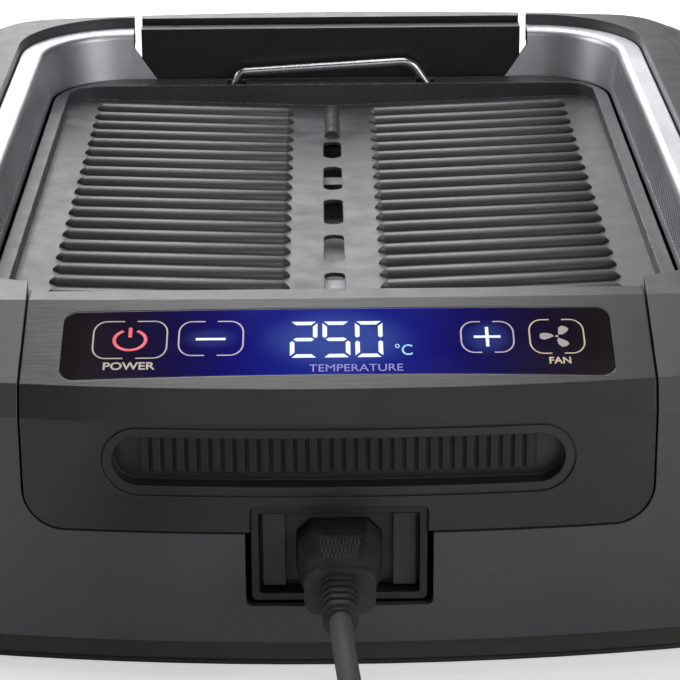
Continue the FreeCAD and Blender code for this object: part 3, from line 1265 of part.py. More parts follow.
def make_coil_and_plug():
    """The coiled rest of the lead, its tie and the two-pin plug with earth contacts."""
    mid, wide, tall = dims.coil_radius, dims.coil_wide / 2, dims.coil_tall
    coil = spun("coil_turn", [(mid - wide, 0.0, 4.0), (mid + wide, 0.0, 4.0),
                              (mid + wide, tall, 4.0), (mid - wide, tall, 4.0)],
                *COIL_MIDDLE)
    node(coil, "cord_coil")
    band, half_tie = dims.tie_band, dims.tie_wide / 2
    tie_x, tie_y = COIL_MIDDLE[0], COIL_MIDDLE[1] - mid
    reach = wide + band
    outer = prism("tie_outer", [[(tie_y - reach, 0.0, 4.0), (tie_y + reach, 0.0, 4.0),
                                 (tie_y + reach, tall + band, 4.0),
                                 (tie_y - reach, tall + band, 4.0)]],
                  tie_x - half_tie, tie_x + half_tie, "YZ_Plane")
    node(cut("tie_cut", outer, [coil]), "cord_tie")
    end = Vector(*TAIL_ROUTE[-1])
    heading = end - Vector(*TAIL_ROUTE[-2])
    spin = Rotation(Vector(0, 0, 1), Vector(heading.x, heading.y, 0))
    radius, long = dims.mains_radius, dims.mains_long
    body = spun("mains_plug_body", [(0.0, 0.0), (5.0, 0.0), (7.0, 6.0), (radius - 3.5, 14.0),
                                    (radius, 20.0), (radius, long - 1.0),
                                    (radius - 1.0, long), (0.0, long)],
                end.x, end.y, end.z, spin)
    node(body, "mains_plug")
    face = end + spin.multVec(Vector(0, 0, number(long)))
    side = spin.multVec(Vector(0, number(dims.mains_pin_half), 0))
    pins = []
    for index, sign in enumerate((-1, 1)):
        pin = doc.addObject("Part::Cylinder", f"mains_pin_{index}")
        bind(pin, "Radius", dims.mains_pin_radius)
        bind(pin, "Height", dims.mains_pin_long)
        pin.Placement = FreeCAD.Placement(face + side * sign, spin)
        pins.append(pin)
    node(group("mains_pin_group", pins), "plug_pins")


make_connector()
make_lead_tube("cord_run", LEAD_ROUTE)
make_lead_tube("cord_tail", TAIL_ROUTE)
make_coil_and_plug()


# ---------------------------------------------------------------- checks and files

def check_and_write():
    """Stop on any failed object, then write each sub-part to its own file."""
    doc.recompute()
    for thing in doc.Objects:
        states = set(thing.State)
        if states & {"Invalid", "Error"}:
            raise RuntimeError(f"{thing.Label} failed: {thing.State}")
    os.makedirs("parts", exist_ok=True)
    for label, thing in nodes.items():
        shape = thing.Shape
        if shape.isNull() or not shape.isValid():
            raise RuntimeError(f"{label} has no valid shape")
        shape.exportStep(f"parts/{label}.step")
        print(f"{label}: {len(shape.Solids)} solids, {shape.Volume / 1000:.1f} cm3")


check_and_write()
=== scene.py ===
"""Looks of an indoor electric grill: finishes, display graphics, lead and studio."""

import json
import logging
from collections.abc import Iterator
from dataclasses import dataclass
from enum import Enum
from functools import cached_property
from itertools import chain
from math import atan2, cos, degrees, hypot, pi, radians, sin, sqrt

import bmesh
import bpy
from bmesh.types import BMesh, BMVert
from bpy.types import Material, Mesh, Node, NodeSocket, NodeTree, Object
from mathutils import Matrix, Vector
from mathutils.bvhtree import BVHTree
from mathutils.geometry import convex_hull_2d, intersect_point_line
from mathutils.interpolate import poly_3d_calc


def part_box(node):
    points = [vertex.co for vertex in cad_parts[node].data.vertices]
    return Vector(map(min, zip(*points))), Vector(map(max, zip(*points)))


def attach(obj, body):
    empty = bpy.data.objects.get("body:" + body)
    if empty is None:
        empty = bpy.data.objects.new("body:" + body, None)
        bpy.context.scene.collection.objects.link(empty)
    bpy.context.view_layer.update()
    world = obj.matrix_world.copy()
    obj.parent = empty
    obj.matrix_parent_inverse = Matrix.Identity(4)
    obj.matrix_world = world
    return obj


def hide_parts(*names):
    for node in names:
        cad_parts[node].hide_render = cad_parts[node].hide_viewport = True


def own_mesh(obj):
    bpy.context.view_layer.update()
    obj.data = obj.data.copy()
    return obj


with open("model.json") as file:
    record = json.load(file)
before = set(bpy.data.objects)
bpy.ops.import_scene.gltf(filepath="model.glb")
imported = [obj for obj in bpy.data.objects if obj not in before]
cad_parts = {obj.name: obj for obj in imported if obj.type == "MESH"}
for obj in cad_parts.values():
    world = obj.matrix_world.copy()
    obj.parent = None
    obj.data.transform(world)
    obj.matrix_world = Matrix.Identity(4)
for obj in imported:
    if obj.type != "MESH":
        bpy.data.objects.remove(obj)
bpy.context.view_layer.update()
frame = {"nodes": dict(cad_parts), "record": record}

log = logging.getLogger("grill")

MM = 0.001
# The camera's eye in millimetres; the lit marks are drawn flat as they look from there.
EYE = (-4.1, -1031.3, 421.3)
# The control unit's slope: its angle, and its foot's place along Y and Z in millimetres.
SLOPE = radians(19.94)
SLOPE_FOOT = (-246.0, 102.4)
Colour = tuple[float, float, float, float]
Point = tuple[float, float, float]
# A place on the slope; the corners and faces of a flat shape; and a mark's name, shape and ink.
Spot = tuple[float, float]
Shape = tuple[list[Spot], list[tuple[int, ...]]]
Mark = tuple[str, Shape, Enum]


def hex_colour(code: str) -> Colour:
    """Turns an sRGB hex value, six digits after a "#", into a linear colour."""
    shares = (int(code[start:start + 2], 16) / 255 for start in (1, 3, 5))
    return (*(share / 12.92 if share <= 0.04045 else ((share + 0.055) / 1.055) ** 2.4
              for share in shares), 1.0)


def add_node(tree: NodeTree, kind: str, settings: dict | None = None) -> Node:
    """Adds one node.

    Args:
        tree: The material's or world's node tree.
        kind: Blender's type name without its "ShaderNode" prefix.
        settings: Properties by name, and by input name or number each input's value or the
            socket that feeds it.

    Returns:
        The new node.
    """
    made = tree.nodes.new(f"ShaderNode{kind}")
    for key, value in (settings or {}).items():
        if isinstance(value, NodeSocket):
            tree.links.new(value, made.inputs[key])
        elif isinstance(key, str) and hasattr(made, key):
            setattr(made, key, value)
        else:
            made.inputs[key].default_value = value
    return made


def smooth(value: float, width: float) -> float:
    """Eases from 0 to 1 as a value goes from 0 to a width."""
    share = max(0.0, min(1.0, value / width))
    return share * share * (3 - 2 * share)


def shade(colour: Colour, gain: float, lift: float = 0.0) -> Colour:
    """Makes a colour lighter or darker."""
    return (*(min(1.0, part * gain + lift) for part in colour[:3]), 1.0)


def on_slope(across: float, up: float) -> Vector:
    """Gives the place in metres of a point on the slope, which is in millimetres."""
    return Vector((across, SLOPE_FOOT[0] + up * cos(SLOPE),
                   SLOPE_FOOT[1] + up * sin(SLOPE))) * MM


def corner(shape: BMesh, x: float, y: float, z: float) -> BMVert:
    """Adds a corner at a place in millimetres."""
    return shape.verts.new((x * MM, y * MM, z * MM))


def join_rings(shape: BMesh, rings: list[list[BMVert]], closed: bool, soft: bool) -> None:
    """Joins neighbouring rings of corners with faces.

    Args:
        shape: The shape that takes the faces.
        rings: Rows with as many corners each.
        closed: Whether each row runs round to its start.
        soft: Whether the faces are shaded smooth.
    """
    count = len(rings[0])
    for near, far in zip(rings, rings[1:]):
        for index in range(count if closed else count - 1):
            after = (index + 1) % count
            shape.faces.new((near[index], near[after], far[after], far[index])).smooth = soft


def add_object(name: str, data: bpy.types.ID) -> Object:
    """Adds an object to the scene.

    Args:
        name: The object's name.
        data: Its mesh, curve, lamp or camera.

    Returns:
        The object.
    """
    made = bpy.data.objects.new(name, data)
    bpy.context.collection.objects.link(made)
    return made


def add_piece(name: str, made: BMesh | Mesh, body: str, slot: str) -> Object:
    """Adds a piece that rides on a body.

    Args:
        name: The piece's name.
        made: Its mesh, or a shape that becomes a mesh of the slot's own material.
        body: The body that carries it.
        slot: The record's material slot that it belongs to.

    Returns:
        The piece.
    """
    mesh = made
    if isinstance(made, BMesh):
        mesh = bpy.data.meshes.new(name)
        made.to_mesh(mesh)
        made.free()
        mesh.materials.append(bpy.data.materials[slot])
    piece = add_object(name, mesh)
    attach(piece, body)
    log.info("%s: %d faces", name, len(mesh.polygons))
    return piece


class Grain(Enum):
    """Mould textures, as the size in millimetres along X, Y and Z."""

    SPARKED = (1.0, 1.0, 1.0)
    HAIRLINE = (22.0, 0.55, 0.55)


@dataclass(frozen=True)
class Finish:
    """A finish's material, with the few ways in which these finishes are textured."""

    # The slot that it is named for, and its colour.
    slot: str
    colour: str

    @cached_property
    def material(self) -> Material:
        """Starts the material.

        Returns:
            A material with the usual shader.
        """
        made = bpy.data.materials.new(self.slot)
        made.use_nodes = True
        return made

    @cached_property
    def place(self) -> NodeSocket:
        """Gives the pattern coordinates, which are the piece's own metres."""
        return self.node("TexCoord").outputs["Object"]

    @property
    def shader(self) -> Node:
        """Gives the shader."""
        return self.material.node_tree.nodes["Principled BSDF"]

    def node(self, kind: str, settings: dict | None = None) -> Node:
        """Adds a node to the material."""
        return add_node(self.material.node_tree, kind, settings)

    def set(self, **values: float | Colour) -> None:
        """Sets shader inputs; an underscore in a name stands for a space."""
        for name, value in values.items():
            self.shader.inputs[name.replace("_", " ")].default_value = value

    def link(self, name: str, socket: NodeSocket) -> None:
        """Feeds a shader input."""
        self.material.node_tree.links.new(socket, self.shader.inputs[name])

    def noise(self, size: float, low: float = 0.3, high: float = 0.7,
              stretch: Point = (1.0, 1.0, 1.0), detail: float = 2.0) -> NodeSocket:
        """Adds cloudy variation between 0 and 1.

        Args:
            size: The pattern's real size in millimetres.
            low: The noise level that gives 0.
            high: The noise level that gives 1.
            stretch: How much longer the pattern is along each axis.
            detail: Octaves of finer noise.

        Returns:
            The variation's socket.
        """
        scale = tuple(1.0 / (size * MM * share) for share in stretch)
        drawn = self.node("Mapping", {"Scale": scale, "Vector": self.place})
        cloud = self.node("TexNoise", {"Scale": 1.0, "Detail": detail,
                                       "Vector": drawn.outputs[0]})
        return self.node("MapRange", {"From Min": low, "From Max": high,
                                      "Value": cloud.outputs["Fac"]}).outputs[0]

    def rounded(self, radius: float) -> NodeSocket:
        """Gives the normal with edges rounded to a radius in millimetres."""
        return self.node("Bevel", {"samples": 6, "Radius": radius * MM}).outputs[0]

    def edges_for_wear_and_highlight(self, reach: float, low: float, high: float) -> NodeSocket:
        """Finds the piece's edges, for edge wear and for painted edge highlights.

        Args:
            reach: How far an edge counts, in millimetres.
            low: The turn that gives 0.
            high: The turn that gives 1.

        Returns:
            A share that is 1 on a sharp edge.
        """
        match = self.node("VectorMath", {"operation": "DOT_PRODUCT", 0: self.rounded(reach),
                                         1: self.node("NewGeometry").outputs["Normal"]})
        return self.node("MapRange", {"From Min": 1.0 - low, "From Max": 1.0 - high,
                                      "Value": match.outputs["Value"]}).outputs[0]

    def blend(self, share: NodeSocket, first: Colour | NodeSocket,
              second: Colour | NodeSocket) -> NodeSocket:
        """Mixes two colours by how much of the second shows."""
        return self.node("Mix", {"data_type": "RGBA", 0: share, 6: first,
                                 7: second}).outputs[2]

    def times(self, value: NodeSocket, factor: float | NodeSocket) -> NodeSocket:
        """Multiplies a value by a number or by another value."""
        return self.node("Math", {"operation": "MULTIPLY", 0: value, 1: factor}).outputs[0]

    def paint(self, share: NodeSocket, first: Colour | NodeSocket,
              second: Colour | NodeSocket) -> None:
        """Sets the base colour to a blend."""
        self.link("Base Color", self.blend(share, first, second))

    def gloss(self, share: NodeSocket, low: float, high: float) -> None:
        """Varies the roughness between two values."""
        spread = self.node("MapRange", {"To Min": low, "To Max": high, "Value": share})
        self.link("Roughness", spread.outputs[0])

    def relief(self, height: NodeSocket, depth: float, soften: float) -> None:
        """Gives the surface its small relief, with mould-soft edges.

        Args:
            height: The relief's height, from 0 to 1.
            depth: The relief's real depth in millimetres.
            soften: The edges' radius in millimetres, or 0.
        """
        settings = {"Distance": depth * MM, "Height": height}
        if soften:
            settings["Normal"] = self.rounded(soften)
        self.link("Normal", self.node("Bump", settings).outputs[0])

    def build(self) -> Material:
        """Makes the material."""
        self.dress()
        return self.material


@dataclass(frozen=True)
class MouldedPlastic(Finish):
    """Injection-moulded ABS or polypropylene in a spark-eroded or lined mould.

    The mould's fine pits scatter the highlight, so it is broad and soft. Corners that the mould
    rounds by a few tenths of a millimetre are shaded round, and a painted highlight lightens
    their colour in a thin line.
    """

    roughness: float = 0.42
    grain: Grain = Grain.SPARKED
    # Real spark erosion is 0.1 mm; it is drawn coarser so that it shows.
    pit: float = 0.6
    depth: float = 0.012
    soften: float = 0.5
    # How much the edges' colour is lightened: a painted highlight.
    line: float = 0.35

    def dress(self) -> None:
        """Sets the material's look."""
        base = hex_colour(self.colour)
        pits = self.noise(self.pit, 0.3, 0.7, self.grain.value, 3.0)
        toned = self.blend(self.noise(60.0, 0.35, 0.75), base, shade(base, 1.22, 0.002))
        specked = self.blend(self.noise(self.pit * 1.4, 0.5, 0.95, self.grain.value), toned,
                             shade(base, 1.5, 0.003))
        # Painted highlight: the edges' colour is lightened in a thin line, for the light that
        # rounded edges catch.
        edges = self.times(self.edges_for_wear_and_highlight(self.soften + 0.25, 0.03, 0.6), self.line)
        self.paint(edges, specked, shade(base, 1.7, 0.05))
        self.gloss(self.noise(9.0), self.roughness - 0.04, self.roughness + 0.05)
        self.relief(pits, self.depth, self.soften)
        self.set(IOR=1.53)


@dataclass(frozen=True)
class SatinSteel(Finish):
    """Stainless sheet, pressed and then satin-polished along its length.

    Fine scratches stretch the highlight into a soft silver band.
    """

    roughness: float = 0.3
    scratch: float = 0.35

    def dress(self) -> None:
        """Sets the material's look."""
        base = hex_colour(self.colour)
        lines = self.noise(self.scratch, stretch=(1.0, 60.0, 1.0))
        self.paint(self.noise(30.0), base, shade(base, 0.82))
        self.gloss(lines, self.roughness - 0.05, self.roughness + 0.06)
        self.relief(lines, 0.002, 0.3)
        self.set(Metallic=1.0)


@dataclass(frozen=True)
class NonstickCasting(Finish):
    """Die-cast aluminium with a sprayed and baked non-stick coat, well used.

    The coat is a dark satin film with an orange-peel skin and pale mineral flecks. Wiping has
    polished cloudy patches, and the coat has rubbed through to specks of bare metal on edges.
    """

    cloud: str
    bare: str
    roughness: float = 0.36
    # The coat fills and rounds the casting's corners.
    soften: float = 0.8

    def dress(self) -> None:
        """Sets the material's look."""
        base, cloud, bare = (hex_colour(code) for code in (self.colour, self.cloud, self.bare))
        patches = self.noise(26.0, 0.4, 0.8, (1.0, 1.4, 1.0), 5.0)
        skin = self.blend(patches, base, cloud)
        # Mineral flecks of about 0.2 mm, drawn at 0.7 mm.
        flecks = self.noise(0.7, 0.6, 0.75, detail=1.0)
        flecked = self.blend(self.times(flecks, 0.1), skin, bare)
        rubbed = self.noise(1.6, 0.46, 0.62, detail=4.0)
        chips = self.times(self.edges_for_wear_and_highlight(0.7, 0.02, 0.3), rubbed)
        self.paint(chips, flecked, bare)
        self.gloss(self.noise(11.0, detail=4.0), self.roughness - 0.08, self.roughness + 0.12)
        self.relief(self.noise(1.1, 0.25, 0.75, detail=3.0), 0.02, self.soften)
        self.set(IOR=1.5)


@dataclass(frozen=True)
class BareMetal(Finish):
    """Turned, drawn, pressed or plated metal, by its colour and its polish."""

    roughness: float = 0.25
    # Length of the tool or drawing marks along X, Y and Z.
    marks: Point = (1.0, 1.0, 1.0)
    tint: str = ""

    def dress(self) -> None:
        """Sets the material's look."""
        base = hex_colour(self.colour)
        stain = hex_colour(self.tint) if self.tint else shade(base, 0.8)
        self.paint(self.noise(14.0, 0.35, 0.7, detail=3.0), base, stain)
        lines = self.noise(0.5, stretch=self.marks)
        self.gloss(lines, self.roughness * 0.8, self.roughness * 1.3)
        self.relief(lines, 0.002, 0.2)
        self.set(Metallic=1.0)


@dataclass(frozen=True)
class MouldedRubber(Finish):
    """Soft PVC or rubber, dull, with a fine skin and a faint bloom of dust."""

    bloom: str
    roughness: float = 0.55
    ridge: float = 0.8

    def dress(self) -> None:
        """Sets the material's look."""
        dust = self.noise(6.0, 0.35, 0.8, detail=4.0)
        self.paint(dust, hex_colour(self.colour), hex_colour(self.bloom))
        self.gloss(dust, self.roughness - 0.06, self.roughness + 0.08)
        self.relief(self.noise(self.ridge), 0.01, 0.3)
        self.set(IOR=1.5)


@dataclass(frozen=True)
class CircuitLaminate(Finish):
    """Woven glass and epoxy board under green solder mask, with 1.2 mm wide tracks."""

    track: str

    def dress(self) -> None:
        """Sets the material's look."""
        mask = hex_colour(self.colour)
        tracks = self.node("TexBrick", {"Scale": 1000 / 12.0, "Mortar Size": 0.05,
                                        "Color1": mask, "Color2": mask,
                                        "Mortar": hex_colour(self.track),
                                        "Vector": self.place})
        self.link("Base Color", tracks.outputs["Color"])
        self.gloss(self.noise(2.0), 0.25, 0.4)
        self.relief(self.noise(0.6), 0.01, 0.1)


@dataclass(frozen=True)
class SmokedLens(Finish):
    """Smoked acrylic over a backlit display.

    The sheet is polished, so it mirrors; behind it the backlight spreads out from the
    digits as deep blue that dies away to the smoke's own brown-black.
    """

    # Half widths in millimetres and the glow there.
    spread: tuple[tuple[float, str], ...]
    halo: str
    # Halos round lit marks: middle across, middle up the slope, half width, half height and
    # strength.
    halos: tuple[tuple[float, float, float, float, float], ...]
    # Where a halo starts to fade and where it ends, as shares of its half sizes.
    fade: tuple[float, float] = (0.35, 1.5)

    def dress(self) -> None:
        """Sets the material's look."""
        parts = self.node("SeparateXYZ", {0: self.place})
        side = self.node("Math", {"operation": "ABSOLUTE", 0: parts.outputs["X"]})
        widest = self.spread[-1][0]
        share = self.node("Math", {"operation": "DIVIDE", 0: side.outputs[0], 1: widest * MM})
        ramp = self.node("ValToRGB", {0: share.outputs[0]})
        stops = ramp.color_ramp.elements
        stops[0].color, stops[1].color = (hex_colour(self.spread[0][1]),
                                          hex_colour(self.spread[-1][1]))
        for width, colour in self.spread[1:-1]:
            stops.new(width / widest).color = hex_colour(colour)
        glow = ramp.outputs["Color"]
        for across, up, half_wide, half_tall, power in self.halos:
            local = self.node("Mapping", {"vector_type": "TEXTURE", "Vector": self.place,
                                          "Location": on_slope(across, up),
                                          "Rotation": (SLOPE, 0.0, 0.0),
                                          "Scale": (half_wide * MM, half_tall * MM, 1.0)})
            far = self.node("VectorMath", {"operation": "LENGTH", 0: local.outputs[0]})
            near = self.node("MapRange", {"interpolation_type": "SMOOTHERSTEP",
                                          "From Min": self.fade[0], "From Max": self.fade[1],
                                          "To Min": power, "To Max": 0.0,
                                          "Value": far.outputs["Value"]})
            glow = self.blend(near.outputs[0], glow, hex_colour(self.halo))
        self.link("Emission Color", glow)
        self.set(Base_Color=hex_colour(self.colour), IOR=1.49, Emission_Strength=1.0)
        self.gloss(self.noise(25.0), 0.05, 0.1)
        self.relief(self.noise(20.0), 0.001, 0.25)


@dataclass(frozen=True)
class BacklitMark(Finish):
    """A mark left clear in the lens's printed mask, lit from behind."""

    rim: str

    def dress(self) -> None:
        """Sets the material's look."""
        uneven = self.noise(2.5, 0.35, 0.7, detail=1.0)
        self.link("Emission Color", self.blend(uneven, hex_colour(self.colour),
                                               hex_colour(self.rim)))
        self.set(Base_Color=(0.0, 0.0, 0.0, 1.0), Roughness=0.3, Emission_Strength=1.0)


@dataclass(frozen=True)
class PaperFloor(Finish):
    """Pale seamless backdrop paper, which reads nearly white and keeps shadows."""

    fibre: str
    lift: float = 0.5

    def dress(self) -> None:
        """Sets the material's look."""
        fibres = self.noise(1.5, detail=4.0)
        self.paint(fibres, hex_colour(self.colour), hex_colour(self.fibre))
        self.relief(fibres, 0.02, 0.0)
        seen = self.node("LightPath").outputs["Is Camera Ray"]
        self.link("Emission Strength", self.times(seen, self.lift))
        self.set(Emission_Color=(1.0, 1.0, 1.0, 1.0), Roughness=0.9)


FINISHES = (
    # Charcoal ABS of the big mouldings, spark-eroded.
    MouldedPlastic("shell_plastic", "#48484b", 0.36, line=0.3),
    MouldedPlastic("base_plastic", "#3a3938", 0.5),
    MouldedPlastic("fascia_plastic", "#252526", 0.33, Grain.HAIRLINE, pit=0.9, depth=0.02,
                   soften=0.6, line=0.5),
    MouldedPlastic("bridge_plastic", "#262523", 0.3, soften=0.6, line=0.25),
    MouldedPlastic("tub_plastic", "#2a2a2b", 0.5),
    MouldedPlastic("case_plastic", "#1d1d1b", 0.45, line=0.25),
    MouldedPlastic("inlet_plastic", "#343331", 0.5, pit=0.8, line=0.2),
    MouldedPlastic("fan_plastic", "#2c2c2e", 0.35),
    MouldedPlastic("lcd_plastic", "#c9ccd0", 0.3),
    MouldedPlastic("relay_plastic", "#2b3f6b", 0.3),
    MouldedPlastic("tie_plastic", "#242424", 0.4),
    MouldedRubber("lead_plastic", "#2b2b2a", "#3b3b3a", 0.48),
    MouldedRubber("lead_sheath", "#434144", "#565357", 0.46, 1.2),
    MouldedRubber("foot_rubber", "#1f1f1f", "#3a3936", 0.7),
    SatinSteel("rim_metal", "#d9d9de", 0.44),
    NonstickCasting("plate_coating", "#454549", "#55555b", "#c9c9ce"),
    BareMetal("wire_chrome", "#dcdcdf", 0.27),
    BareMetal("tray_steel", "#b9b8bd", 0.38),
    BareMetal("screw_steel", "#b4b4b8", 0.3),
    BareMetal("motor_steel", "#9a9a9f", 0.35, (8.0, 1.0, 1.0)),
    BareMetal("spring_steel", "#c4c4c8", 0.25),
    BareMetal("pin_brass", "#cfc9bb", 0.2),
    BareMetal("heater_steel", "#6d675f", 0.4, tint="#5a4a3c"),
    BareMetal("bracket_steel", "#a8a8ac", 0.35, (10.0, 1.0, 1.0)),
    BareMetal("probe_aluminium", "#d2d2d4", 0.3),
    CircuitLaminate("board_laminate", "#1d5a35", "#2c7a49"),
    SmokedLens("lens_plastic", "#080707",
               ((0.0, "#1c278b"), (20.0, "#0f197e"), (33.0, "#110e6c"), (42.0, "#0f0a59"),
                (53.0, "#110745"), (67.0, "#110727"), (86.0, "#120b0c")),
               "#3a4c9a",
               ((0.0, 24.5, 21.0, 12.0, 0.9), (-41.7, 25.9, 8.0, 4.5, 0.35),
                (49.5, 25.1, 7.0, 7.0, 0.4))),
)


class Ink(Enum):
    """The lit marks' colours: the middle, and towards the edge."""

    DIGIT = ("#fbfeff", "#dfefff")
    UNIT = ("#9fd4f2", "#86bfe6")
    BEIGE = ("#b3a898", "#a2998f")
    MAUVE = ("#8a7fc4", "#7a70b4")
    ROSE = ("#b8a8b4", "#a596a6")
    RED = ("#f4586a", "#dc3a50")
    BLADE = ("#a39c99", "#948e8c")
    SAND = ("#cdb596", "#b9a389")


@dataclass(frozen=True)
class Lead:
    """The mains lead: its route, its coil and its two ends, in millimetres."""

    diameter: float = 7.2
    length: float = 1200.0
    turns_middle: tuple[float, float] = (-64.7, -440.8)
    coil_radius: float = 42.5
    start_angle: float = -33.1
    end_angle: float = 170.0
    turns: int = 3
    # Degrees between control points, and how far a turn lies off its neighbour, halved.
    spacing: float = 24.0
    slack: float = 0.05
    # Steps in, out again and up: the lap where each starts and the laps that it takes.
    step_in: tuple[float, float] = (0.85, 0.3)
    step_out: tuple[float, float] = (2.45, 0.3)
    climb: tuple[float, float] = (1.65, 0.35)

    route = [(0.0, -297.0, 45.0), (0.6, -312.0, 44.6), (2.2, -329.0, 42.0),
             (4.5, -347.0, 35.0), (6.0, -367.0, 23.0), (5.0, -389.0, 11.0),
             (1.0, -413.0, 3.8), (-9.0, -440.0, 3.6), (-26.0, -466.0, 3.6)]
    tail = [(-110.1, -432.8, 10.8), (-106.7, -412.2, 12.6), (-102.7, -392.2, 15.6),
            (-98.2, -373.2, 19.0)]

    def coil_points(self) -> list[Point]:
        """Places the coil's control points, turn after turn.

        Returns:
            Points from just after the lead's last one to just before the tail's first.
        """
        middle_x, middle_y = self.turns_middle
        sweep = (self.start_angle - self.end_angle) % 360 + 360 * self.turns
        count = round(sweep / self.spacing)
        half = self.diameter / 2 + self.slack
        points = []
        for index in range(1, count):
            angle = radians(self.start_angle - sweep * index / count)
            lap = sweep * index / count / 360
            inward, outward, up = (smooth(lap - start, width) for start, width in
                                   (self.step_in, self.step_out, self.climb))
            side = half * max(-1.0, min(1.0, 1.0 - 2.0 * inward + 2.0 * outward))
            rise = 2 * half * up
            radius = self.coil_radius + side
            points.append((middle_x + radius * cos(angle),
                           middle_y + radius * sin(angle), self.diameter / 2 + rise))
        return points

    def build(self) -> None:
        points = [*self.route, *self.coil_points(), *self.tail]
        curve = bpy.data.curves.new("mains_cord", "CURVE")
        curve.dimensions = "3D"
        # The points' own radius is the sheath's, so that the curve's box is the sheath's too.
        curve.bevel_depth = 1.0
        curve.bevel_resolution = 5
        curve.resolution_u = 6
        spline = curve.splines.new("NURBS")
        spline.points.add(len(points) - 1)
        for point, place in zip(spline.points, points):
            point.co = (*(value * MM for value in place), 1.0)
            point.radius = self.diameter / 2 * MM
        spline.order_u = 3
        spline.use_endpoint_u = True
        curve.materials.append(bpy.data.materials["lead_sheath"])
        cord = add_object("mains_cord", curve)
        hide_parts("cord_run", "cord_coil", "cord_tail")
        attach(cord, "lead")
        tuple(value * MM for value in self.route[0])


